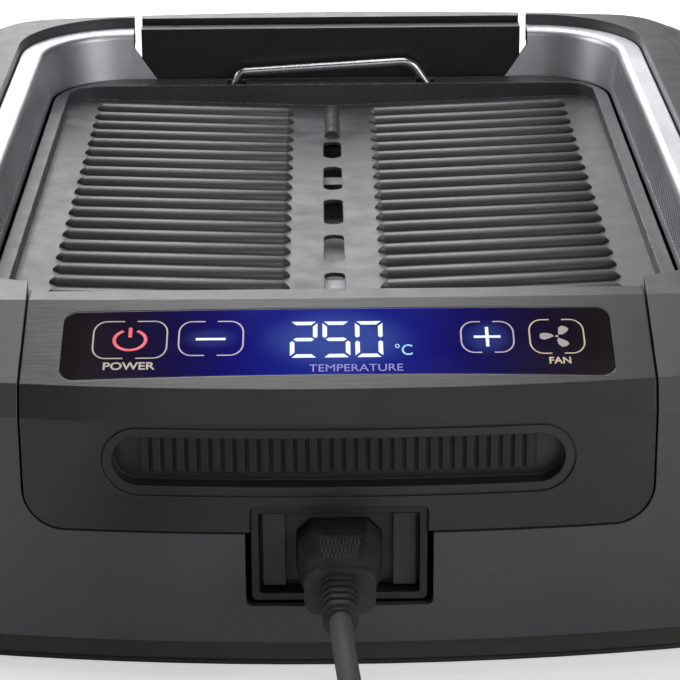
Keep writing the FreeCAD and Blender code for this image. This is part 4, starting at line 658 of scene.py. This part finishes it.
@dataclass(frozen=True)
class Display:
    """The touch panel's lit marks, laid on the lens; sizes are millimetres on its slope.

    A mark is drawn flat as it looks from the front, then set down on the curved lens.
    """

    lift: float = 0.05
    stroke: float = 0.52
    radii: tuple[float, float] = (4.3, 5.6)
    gap: float = 2.05
    digit_low: float = 15.5
    digit_high: float = 33.5
    digit_left: float = -15.6
    digit_wide: float = 9.1
    digit_step: float = 10.75
    digit_stroke: float = 1.5
    # Frames: left, right, low, high, ink.
    frames: tuple[tuple[float, float, float, float, Ink], ...] = (
        (-80.4, -56.1, 16.0, 34.5, Ink.BEIGE), (-52.2, -31.0, 17.1, 34.1, Ink.ROSE),
        (40.8, 58.1, 17.3, 32.7, Ink.ROSE), (63.4, 81.3, 16.5, 33.4, Ink.SAND))
    # Words: text, left, right, low, high, ink, boldness.
    words: tuple[tuple[str, float, float, float, float, Ink, float], ...] = (
        ("POWER", -76.5, -59.5, 10.3, 14.1, Ink.BEIGE, 0.022),
        ("TEMPERATURE", -9.3, 21.3, 8.6, 12.1, Ink.MAUVE, 0.0),
        ("FAN", 69.1, 76.2, 11.4, 14.7, Ink.SAND, 0.022),
        ("\u00b0C", 18.9, 24.6, 16.3, 21.9, Ink.UNIT, 0.006))
    power_spot: tuple[float, float] = (-68.3, 25.1)
    minus_spot: tuple[float, float] = (-41.7, 25.2)
    plus_spot: tuple[float, float] = (49.4, 25.1)
    fan_spot: tuple[float, float] = (72.4, 25.0)

    def set_down(self, lens: BVHTree, name: str, shape: Shape, ink: Ink) -> Object:
        """Lays a flat mark on the lens.

        Args:
            lens: The lens's surface.
            name: The new piece's name.
            shape: The mark's corners, across the slope and up it, and its faces.
            ink: The mark's colour.

        Returns:
            The mark's object.
        """
        eye = Vector(EYE) * MM
        spots = []
        for across, up in shape[0]:
            hit, normal, _, _ = lens.ray_cast(eye, (on_slope(across, up) - eye).normalized())
            spots.append(hit + normal * self.lift * MM)
        mesh = bpy.data.meshes.new(name)
        mesh.from_pydata(spots, [], shape[1])
        mesh.materials.append(BacklitMark(f"mark_{ink.name.lower()}", *ink.value).build())
        return add_piece(name, mesh, "control_unit", "lens_plastic")

    @staticmethod
    def strips(*lines: tuple[list[Spot], float]) -> Shape:
        """Thickens lines into strips of faces.

        Args:
            lines: Each line's points and its width.

        Returns:
            The strips' corners and faces.
        """
        points, faces = [], []
        for path, wide in lines:
            for index, (x, y) in enumerate(path):
                before = path[max(index - 1, 0)]
                after = path[min(index + 1, len(path) - 1)]
                run = hypot(after[0] - before[0], after[1] - before[1])
                across = (-(after[1] - before[1]) / run * wide / 2,
                          (after[0] - before[0]) / run * wide / 2)
                points += [(x + across[0], y + across[1]), (x - across[0], y - across[1])]
                if index:
                    last = len(points)
                    faces.append((last - 4, last - 3, last - 1, last - 2))
        return points, faces

    @staticmethod
    def plates(outlines: list[list[Spot]]) -> Shape:
        """Makes one face of each outline.

        Args:
            outlines: Each face's corners in order.

        Returns:
            All the corners and the faces.
        """
        points, faces = [], []
        for outline in outlines:
            faces.append(tuple(range(len(points), len(points) + len(outline))))
            points += outline
        return points, faces

    def draw_frames(self) -> Iterator[Mark]:
        """Draws the four rounded frames, each broken in the middle above and below."""
        turns = [radians(step * 10) for step in range(10)]
        radius_x, radius_y = self.radii
        for index, (left, right, low, high, ink) in enumerate(self.frames):
            middle, lines = (left + right) / 2, []
            for side, edge in ((-1, left), (1, right)):
                inner = edge - side * radius_x
                path = [(middle + side * self.gap, high)]
                path += [(inner + side * radius_x * sin(turn),
                          high - radius_y + radius_y * cos(turn)) for turn in turns]
                path += [(inner + side * radius_x * cos(turn),
                          low + radius_y - radius_y * sin(turn)) for turn in turns]
                lines.append(([*path, (middle + side * self.gap, low)], self.stroke))
            yield f"touch_frame_{index}", self.strips(*lines), ink

    def draw_words(self) -> Iterator[Mark]:
        """Sets the plain words and the degree sign."""
        for text, left, right, low, high, ink, bold in self.words:
            curve = bpy.data.curves.new("word", "FONT")
            curve.body = text
            curve.offset = bold
            curve.resolution_u = 4
            source = add_object("word", curve)
            graph = bpy.context.evaluated_depsgraph_get()
            mesh = bpy.data.meshes.new_from_object(source.evaluated_get(graph))
            xs = [vertex.co.x for vertex in mesh.vertices]
            ys = [vertex.co.y for vertex in mesh.vertices]
            wide, tall = max(xs) - min(xs), max(ys) - min(ys)
            points = [(left + (x - min(xs)) / wide * (right - left),
                       low + (y - min(ys)) / tall * (high - low)) for x, y in zip(xs, ys)]
            faces = [tuple(polygon.vertices) for polygon in mesh.polygons]
            bpy.data.objects.remove(source)
            bpy.data.curves.remove(curve)
            bpy.data.meshes.remove(mesh)
            name = "word_degrees" if text.endswith("C") else f"word_{text.lower()}"
            yield name, (points, faces), ink

    def segments(self, left: float) -> dict[str, list[Spot]]:
        """Outlines a digit's seven bars.

        Args:
            left: The digit's left edge.

        Returns:
            Each bar's corners, by the bar's usual letter.
        """
        right, low, high = left + self.digit_wide, self.digit_low, self.digit_high
        bar_x, bar_y, gap = self.digit_stroke, self.digit_stroke * 1.15, 0.55
        middle = (low + high) / 2
        top = [(left + gap, high), (right - gap, high), (right - bar_x - gap, high - bar_y),
               (left + bar_x + gap, high - bar_y)]
        bottom = [(x, low + high - y) for x, y in top]
        centre = [(left + gap * 2, middle), (left + bar_x + gap, middle + bar_y / 2),
                  (right - bar_x - gap, middle + bar_y / 2), (right - gap * 2, middle),
                  (right - bar_x - gap, middle - bar_y / 2),
                  (left + bar_x + gap, middle - bar_y / 2)]
        upper_left = [(left, high - gap * 1.6), (left + bar_x, high - bar_y - gap * 1.4),
                      (left + bar_x, middle + bar_y / 2 + gap * 1.2),
                      (left + bar_x / 2, middle + gap * 1.4), (left, middle + bar_y / 2 + gap)]
        lower_left = [(x, low + high - y) for x, y in upper_left]
        return {"a": top, "d": bottom, "g": centre, "f": upper_left, "e": lower_left,
                "b": [(left + right - x, y) for x, y in upper_left],
                "c": [(left + right - x, y) for x, y in lower_left]}

    def draw_digits(self) -> Iterator[Mark]:
        """Draws the three lit digits."""
        lit = {"2": "abged", "5": "afgcd", "0": "abcdef"}
        for index, digit in enumerate("250"):
            bars = self.segments(self.digit_left + index * self.digit_step)
            shape = self.plates([bars[letter] for letter in lit[digit]])
            yield f"digit_{index}", shape, Ink.DIGIT

    def draw_signs(self) -> Iterator[Mark]:
        """Draws the power, minus, plus and fan signs."""
        x, y = self.power_spot
        ring = [(x + 5.2 * sin(radians(turn)), y + 5.0 * cos(radians(turn)))
                for turn in range(26, 335, 14)]
        yield ("sign_power", self.strips((ring, 1.15), ([(x, y + 1.3), (x, y + 6.2)], 1.2)),
               Ink.RED)
        x, y = self.minus_spot
        yield "sign_minus", self.strips(([(x - 4.9, y), (x + 4.9, y)], 1.15)), Ink.DIGIT
        x, y = self.plus_spot
        arms = [([(x, y + side * 0.6), (x, y + side * 4.9)], 1.1) for side in (-1, 1)]
        yield ("sign_plus", self.strips(([(x - 4.4, y), (x + 4.4, y)], 1.2), *arms),
               Ink.DIGIT)
        x, y = self.fan_spot
        blade = [(0.9, 0.1), (2.4, 1.3), (3.9, 2.2), (5.2, 2.0), (5.7, 0.7), (5.5, -0.7),
                 (3.9, -1.2), (2.0, -0.9)]
        shapes = [[(x + across * cos(angle) - up * sin(angle),
                    y + across * sin(angle) + up * cos(angle))
                   for across, up in blade] for angle in map(radians, (50, 172, 292))]
        shapes.append([(x + 0.55 * cos(angle), y + 0.55 * sin(angle))
                       for angle in map(radians, range(0, 360, 40))])
        yield "sign_fan", self.plates(shapes), Ink.BLADE

    def build(self) -> None:
        """Draws every lit mark."""
        mesh = frame["nodes"]["display_lens"].data
        lens = BVHTree.FromPolygons([vertex.co for vertex in mesh.vertices],
                                    [polygon.vertices for polygon in mesh.polygons])
        for mark in chain(self.draw_frames(), self.draw_words(), self.draw_digits(),
                          self.draw_signs()):
            self.set_down(lens, *mark)


@dataclass(frozen=True)
class GripPanel:
    """Rows of small moulded points on the connector's upper slope, in millimetres."""

    front: float = -254.5
    back: float = -268.5
    front_half: float = 7.0
    back_half: float = 5.2
    top: float = 54.5
    front_face: float = -250.0
    fall: float = 2.0 / 24.0
    pitch: float = 1.25
    tall: float = 0.35
    # A point's half width and how deep it is sunk.
    foot: float = 0.425
    sunk: float = 0.05

    def build(self) -> None:
        """Makes the panel."""
        shape = bmesh.new()
        rows = round((self.front - self.back) / self.pitch)
        for row in range(rows + 1):
            y = self.front - row * self.pitch
            share = row / rows
            half = self.front_half + (self.back_half - self.front_half) * share
            level = self.top - (self.front_face - y) * self.fall
            count = int(2 * half / self.pitch)
            for column in range(count + 1):
                x = (column - count / 2) * self.pitch
                feet = [corner(shape, x + side * self.foot, y + end * self.foot,
                               level - self.sunk)
                        for side, end in ((-1, -1), (1, -1), (1, 1), (-1, 1))]
                tip = corner(shape, x, y, level + self.tall)
                for index, foot in enumerate(feet):
                    shape.faces.new((foot, feet[(index + 1) % 4], tip))
        add_piece("connector_grip", shape, "lead", "lead_plastic")


@dataclass(frozen=True)
class ShellMoulding:
    """The shell with its openings beside the rear bridge and its thin front seam.

    The openings go right through the back wall, so one can look through each and see what
    is behind the grill. Sizes are millimetres.
    """

    # An opening's nearer and farther wall across, at its front end and at its back end.
    front_walls: tuple[float, float] = (88.9, 96.3)
    back_walls: tuple[float, float] = (93.5, 101.5)
    # Its ends along Y, and its heights.
    ends: tuple[float, float] = (215.0, 262.0)
    heights: tuple[float, float] = (80.0, 140.0)
    # A cut face is the old one where it lies this near to it and turned this alike.
    same_place: float = 0.01
    same_turn: float = 0.99
    # How far the front opening stands off the fascia, least and most, and how much less.
    seam: tuple[float, float] = (1.4, 2.6)
    draw_in: float = 1.2
    front_zone: float = -200.0

    def make_cutter(self) -> Object:
        """Makes the two blocks that cut the openings.

        Returns:
            Both as one object.
        """
        shape = bmesh.new()
        for side in (-1, 1):
            near, far = self.front_walls
            back_near, back_far = self.back_walls
            rings = [[corner(shape, side * x, y, height) for x, y in (
                (near, self.ends[0]), (far, self.ends[0]), (back_far, self.ends[1]),
                (back_near, self.ends[1]))] for height in self.heights]
            join_rings(shape, rings, closed=True, soft=False)
            for ring in rings:
                shape.faces.new(ring)
        bmesh.ops.recalc_face_normals(shape, faces=shape.faces)
        mesh = bpy.data.meshes.new("notch_cutter")
        shape.to_mesh(mesh)
        shape.free()
        return add_object("notch_cutter", mesh)

    def keep_shading(self, whole: Mesh, cut: Mesh) -> None:
        """Gives the cut mesh the whole one's smooth shading, and its new walls flat shading.

        Args:
            whole: The mesh before the cut.
            cut: The mesh after it.
        """
        corners = [Vector(normal.vector) for normal in whole.corner_normals]
        tree = BVHTree.FromPolygons([vertex.co for vertex in whole.vertices],
                                    [polygon.vertices for polygon in whole.polygons])
        normals = []
        for face in cut.polygons:
            _, _, number, far = tree.find_nearest(face.center)
            source = whole.polygons[number]
            if far > self.same_place * MM or source.normal.dot(face.normal) < self.same_turn:
                normals += [face.normal.copy()] * face.loop_total
                continue
            outline = [whole.vertices[number].co for number in source.vertices]
            for number in face.vertices:
                total = Vector()
                shares = poly_3d_calc(outline, cut.vertices[number].co)
                for share, loop in zip(shares, source.loop_indices):
                    total += corners[loop] * share
                normals.append(total.normalized())
        cut.normals_split_custom_set(normals)

    def tighten_seam(self, mesh: Mesh) -> None:
        """Draws the front opening's edge in towards the fascia, to a thin seam.

        Args:
            mesh: The shell's mesh.
        """
        outline = [vertex.co.xz for vertex in frame["nodes"]["front_fascia"].data.vertices]
        ring = [outline[number] for number in convex_hull_2d(outline)]
        for vertex in mesh.vertices:
            if vertex.co.y > self.front_zone * MM:
                continue
            spot = vertex.co.xz
            gaps = []
            for start, end in zip(ring, ring[1:] + ring[:1]):
                share = intersect_point_line(spot, start, end)[1]
                gaps.append(spot - start.lerp(end, max(0.0, min(1.0, share))))
            away = min(gaps, key=lambda gap: gap.length)
            if self.seam[0] * MM < away.length < self.seam[1] * MM:
                shift = away.normalized() * self.draw_in * MM
                vertex.co.x -= shift.x
                vertex.co.z -= shift.y

    def build(self) -> None:
        """Rebuilds the shell."""
        shell = frame["nodes"]["base_shell"]
        cutter = self.make_cutter()
        blank = add_object("shell_blank", shell.data.copy())
        opening = blank.modifiers.new("notch", "BOOLEAN")
        opening.object, opening.operation, opening.solver = cutter, "DIFFERENCE", "EXACT"
        graph = bpy.context.evaluated_depsgraph_get()
        mesh = bpy.data.meshes.new_from_object(blank.evaluated_get(graph))
        bpy.data.objects.remove(blank)
        bpy.data.objects.remove(cutter)
        self.keep_shading(shell.data, mesh)
        self.tighten_seam(mesh)
        moulding = add_piece("shell_moulding", mesh, "base", "shell_plastic")
        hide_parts("base_shell")


@dataclass(frozen=True)
class RibbedPlate:
    """The plate's casting, whose ribs are low and round; sizes are millimetres.

    The coat fills the feet of the ribs and rounds their crests, so each one is a shallow
    ridge with a broad light crest and pointed ends.
    """

    floor: float = 81.5
    rise: float = 4.5 / 121.5
    ribs: int = 21
    first: float = -136.1
    pitch: float = 13.9
    inner: float = 17.1
    outer: float = 108.2
    half: float = 3.5
    tall: float = 2.9
    point: float = 3.2
    # Faces round a rib, and where its pointed ends have rings, as shares of the point.
    steps: int = 14
    ends: tuple[float, ...] = (0.0, 0.04, 0.15, 0.3, 0.5, 0.75, 1.0)
    # How far round the ribs corners are pressed, from what height and to what height.
    spill: tuple[float, float] = (1.0, 5.0)
    skin: float = 0.02
    tallest: float = 6.0

    def level(self, x: float) -> float:
        """Gives the dished floor's height at a place across the plate."""
        return self.floor + self.rise * abs(x)

    def build_casting(self) -> None:
        """Copies the plate with its ribs pressed flat into the floor."""
        plate = frame["nodes"]["grill_plate"]
        mesh = plate.data.copy()
        last = self.first + self.pitch * (self.ribs - 1)
        beside, along = self.spill
        for vertex in mesh.vertices:
            x, y, z = (value / MM for value in vertex.co)
            if (self.inner - beside < abs(x) < self.outer + beside
                    and self.first - along < y < last + along
                    and self.skin < z - self.level(x) < self.tallest):
                vertex.co.z = self.level(x) * MM
        mesh.update()
        casting = add_piece("plate_casting", mesh, "plate", "plate_coating")
        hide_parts("grill_plate")

    def build_ribs(self) -> None:
        """Raises the round ribs."""
        shape = bmesh.new()
        turns = [pi * step / self.steps for step in range(self.steps + 1)]
        runs = [(self.inner + self.point * share, share) for share in self.ends]
        runs += [(self.outer - self.point * share, share) for share in reversed(self.ends)]
        # A rib on the left turns the other way round, so that its faces look outward too.
        for side in (-1, 1):
            for index in range(self.ribs):
                middle = self.first + self.pitch * index
                rings = [[corner(shape, side * along,
                                 middle - self.half * share * cos(turn),
                                 self.level(along) - self.skin
                                 + self.tall * sqrt(share) * sin(turn))
                          for turn in turns[::side]] for along, share in runs]
                join_rings(shape, rings, closed=False, soft=True)
        bmesh.ops.remove_doubles(shape, verts=shape.verts, dist=0.01 * MM)
        bmesh.ops.recalc_face_normals(shape, faces=shape.faces)
        add_piece("plate_ribs", shape, "plate", "plate_coating")

    def build(self) -> None:
        """Makes the casting and its ribs."""
        self.build_casting()
        self.build_ribs()


@dataclass(frozen=True)
class PlungerSpring:
    """The sensor cap's coil spring, drawn at rest; the real one shortens as the cap is pressed.
    """

    wire: float = 1.1
    turns: float = 5.0
    steps: int = 20
    sides: int = 8
    travel: float = 1.5
    # The cap stays this much clear of the pressed spring.
    clear: float = 0.02

    def build(self) -> None:
        """Winds the spring in the place that its CAD solid holds."""
        low, high = (Vector(end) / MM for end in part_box("probe_spring"))
        middle = (low + high) / 2
        mean = (high.x - low.x - self.wire) / 2
        tall = high.z - low.z
        shape = bmesh.new()
        rings = []
        for step in range(round(self.turns * self.steps) + 1):
            share = step / (self.turns * self.steps)
            angle = 2 * pi * step / self.steps
            rise = low.z + self.wire / 2 + (tall - self.wire) * share
            ring = []
            for side in range(self.sides):
                around = 2 * pi * side / self.sides
                reach = mean + self.wire / 2 * cos(around)
                ring.append(corner(shape, middle.x + reach * cos(angle),
                                   middle.y + reach * sin(angle),
                                   rise + self.wire / 2 * sin(around)))
            rings.append(ring)
        join_rings(shape, rings, closed=True, soft=True)
        shape.faces.new(rings[0][::-1])
        shape.faces.new(rings[-1])
        bmesh.ops.recalc_face_normals(shape, faces=shape.faces)
        coil = add_piece("probe_coil", shape, "control_unit", "spring_steel")
        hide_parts("probe_spring")
        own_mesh(coil)


@dataclass(frozen=True)
class PlinthLip:
    """The plinth's lower lip, which hides the feet and nearly touches the table."""

    low: float = 0.3
    high: float = 2.6
    thick: float = 2.5
    chamfer: float = 0.4
    # The cover's outline is its farthest corner in every two degrees, beyond its vents.
    turn: float = 2.0
    least_reach: float = 120.0
    mean_reach: float = 200.0

    def outline(self) -> list[Vector]:
        """Reads the bottom cover's lower outline.

        Returns:
            Corners in order round the cover.
        """
        corners = [vertex.co for vertex in frame["nodes"]["bottom_cover"].data.vertices]
        level = min(spot.z for spot in corners) + self.chamfer * MM
        turns = {}
        for spot in corners:
            turn = round(degrees(atan2(spot.y, spot.x)) / self.turn)
            if spot.z < level and (turn not in turns
                                   or spot.xy.length > turns[turn].xy.length):
                turns[turn] = spot
        return [turns[turn] for turn in sorted(turns)
                if turns[turn].xy.length > self.least_reach * MM]

    def build(self) -> None:
        """Drops a lip from the bottom cover's outer edge."""
        outer = self.outline()
        shape = bmesh.new()
        rings = []
        for inset, height in ((0.0, self.high), (0.0, self.low + self.chamfer),
                              (self.chamfer, self.low), (self.thick, self.low),
                              (self.thick, self.high)):
            share = 1 - inset / self.mean_reach
            rings.append([shape.verts.new((spot.x * share, spot.y * share, height * MM))
                          for spot in outer])
        join_rings(shape, rings, closed=True, soft=False)
        add_piece("plinth_lip", shape, "base", "base_plastic")


@dataclass(frozen=True)
class Studio:
    """Camera, floor, lamps and sky; places are in millimetres, angles in degrees."""

    yaw: float = 0.354
    pitch: float = 21.03
    roll: float = 0.43
    lens: float = 139.2
    floor_size: float = 6.0
    sky: float = 0.04
    lamp_reach: float = 2200.0
    lamp_aim: float = 80.0
    floor_drop: float = 0.2
    # Softboxes: name, bearing from straight behind (left is negative), height angle, width,
    # watts.
    lamps: tuple[tuple[str, float, float, float, float], ...] = (
        ("softbox_behind", 0.0, 50.0, 900.0, 16.5),
        ("softbox_behind_left", -22.0, 45.0, 900.0, 16.0),
        ("softbox_left", -80.0, 20.0, 1300.0, 16.0),
        ("strip_low_behind", -4.0, 18.0, 900.0, 6.0),
        ("softbox_over", 0.0, 88.0, 1300.0, 10.0),
        ("fill_front_right", 132.0, 20.0, 1300.0, 14.5),
        ("fill_front", 180.0, 18.0, 1300.0, 3.8))

    def aim(self) -> Matrix:
        """Works out the camera's place and turn.

        Returns:
            The camera's matrix in metres.
        """
        yaw, pitch, roll = (radians(angle) for angle in (self.yaw, self.pitch, self.roll))
        ahead = Vector((sin(yaw) * cos(pitch), cos(yaw) * cos(pitch), -sin(pitch)))
        level = Vector((cos(yaw), -sin(yaw), 0))
        over = level.cross(ahead)
        right = level * cos(roll) - over * sin(roll)
        above = level * sin(roll) + over * cos(roll)
        turn = Matrix((right, above, -ahead)).transposed().to_4x4()
        return Matrix.Translation(Vector(EYE) * MM) @ turn

    def build_camera(self) -> None:
        """Sets the camera."""
        data = bpy.data.cameras.new("camera")
        data.lens = self.lens
        data.clip_end = 20.0
        camera = add_object("camera", data)
        camera.matrix_world = self.aim()
        bpy.context.scene.camera = camera

    def build_lamps(self) -> None:
        """Hangs the soft lamps."""
        for name, bearing, height, width, watts in self.lamps:
            turn, rise = radians(bearing), radians(height)
            away = Vector((sin(turn) * cos(rise), cos(turn) * cos(rise), sin(rise)))
            data = bpy.data.lights.new(name, "AREA")
            data.size, data.energy = width * MM, watts
            lamp = add_object(name, data)
            lamp.location = (away * self.lamp_reach + Vector((0, 0, self.lamp_aim))) * MM
            lamp.rotation_euler = away.to_track_quat("Z", "Y").to_euler()

    def build_sky(self) -> None:
        """Makes a plain world that reads white behind the object and lights it faintly."""
        world = bpy.data.worlds.new("sky")
        bpy.context.scene.world = world
        world.use_nodes = True
        tree = world.node_tree
        path = add_node(tree, "LightPath")
        seen = add_node(tree, "Math", {"operation": "MAXIMUM",
                                       0: path.outputs["Is Camera Ray"],
                                       1: path.outputs["Is Transmission Ray"]})
        power = add_node(tree, "MapRange", {"To Min": self.sky, "To Max": 1.0,
                                            "Value": seen.outputs[0]})
        back = tree.nodes["Background"]
        back.inputs["Color"].default_value = (1.0, 1.0, 1.0, 1.0)
        tree.links.new(power.outputs[0], back.inputs["Strength"])

    def build_floor(self) -> None:
        """Lays the paper floor."""
        half = self.floor_size / 2
        mesh = bpy.data.meshes.new("paper_floor")
        mesh.from_pydata([(-half, -half, 0), (half, -half, 0), (half, half, 0),
                          (-half, half, 0)], [], [(0, 1, 2, 3)])
        mesh.materials.append(PaperFloor("backdrop_paper", "#f2f2f2", "#e9e9e9").build())
        floor = add_object("paper_floor", mesh)
        floor.location.z = -self.floor_drop * MM

    def build(self) -> None:
        """Sets up the studio."""
        self.build_camera()
        self.build_lamps()
        self.build_sky()
        self.build_floor()
        bpy.context.scene.view_settings.view_transform = "Standard"


def dress_frame() -> None:
    """Gives every CAD node the finish that its record slot names, or its own."""
    made = {finish.slot: finish.build() for finish in FINISHES}
    # The recess grille is black plastic, painted darker still than the black fascia as painted
    # shade for the inside of the recess, with a faint painted edge highlight.
    own = {"recess_grille": MouldedPlastic("grille_painted_shade", "#131312", 0.5,
                                           line=0.15).build()}
    for part in frame["record"]["subparts"]:
        node = frame["nodes"][part["node"]]
        for place in node.material_slots:
            place.material = own.get(part["node"], made[part["material_slot"]])
        log.info("%s takes %s", part["node"], part["material_slot"])


def main() -> None:
    """Builds the studio and the grill's looks."""
    logging.basicConfig(level=logging.INFO, format="%(name)s: %(message)s")
    Studio().build()
    dress_frame()
    for part in (Lead(), ShellMoulding(), PlinthLip(), RibbedPlate(), PlungerSpring(),
                 Display(), GripPanel()):
        part.build()


if __name__ == "__main__":
    main()
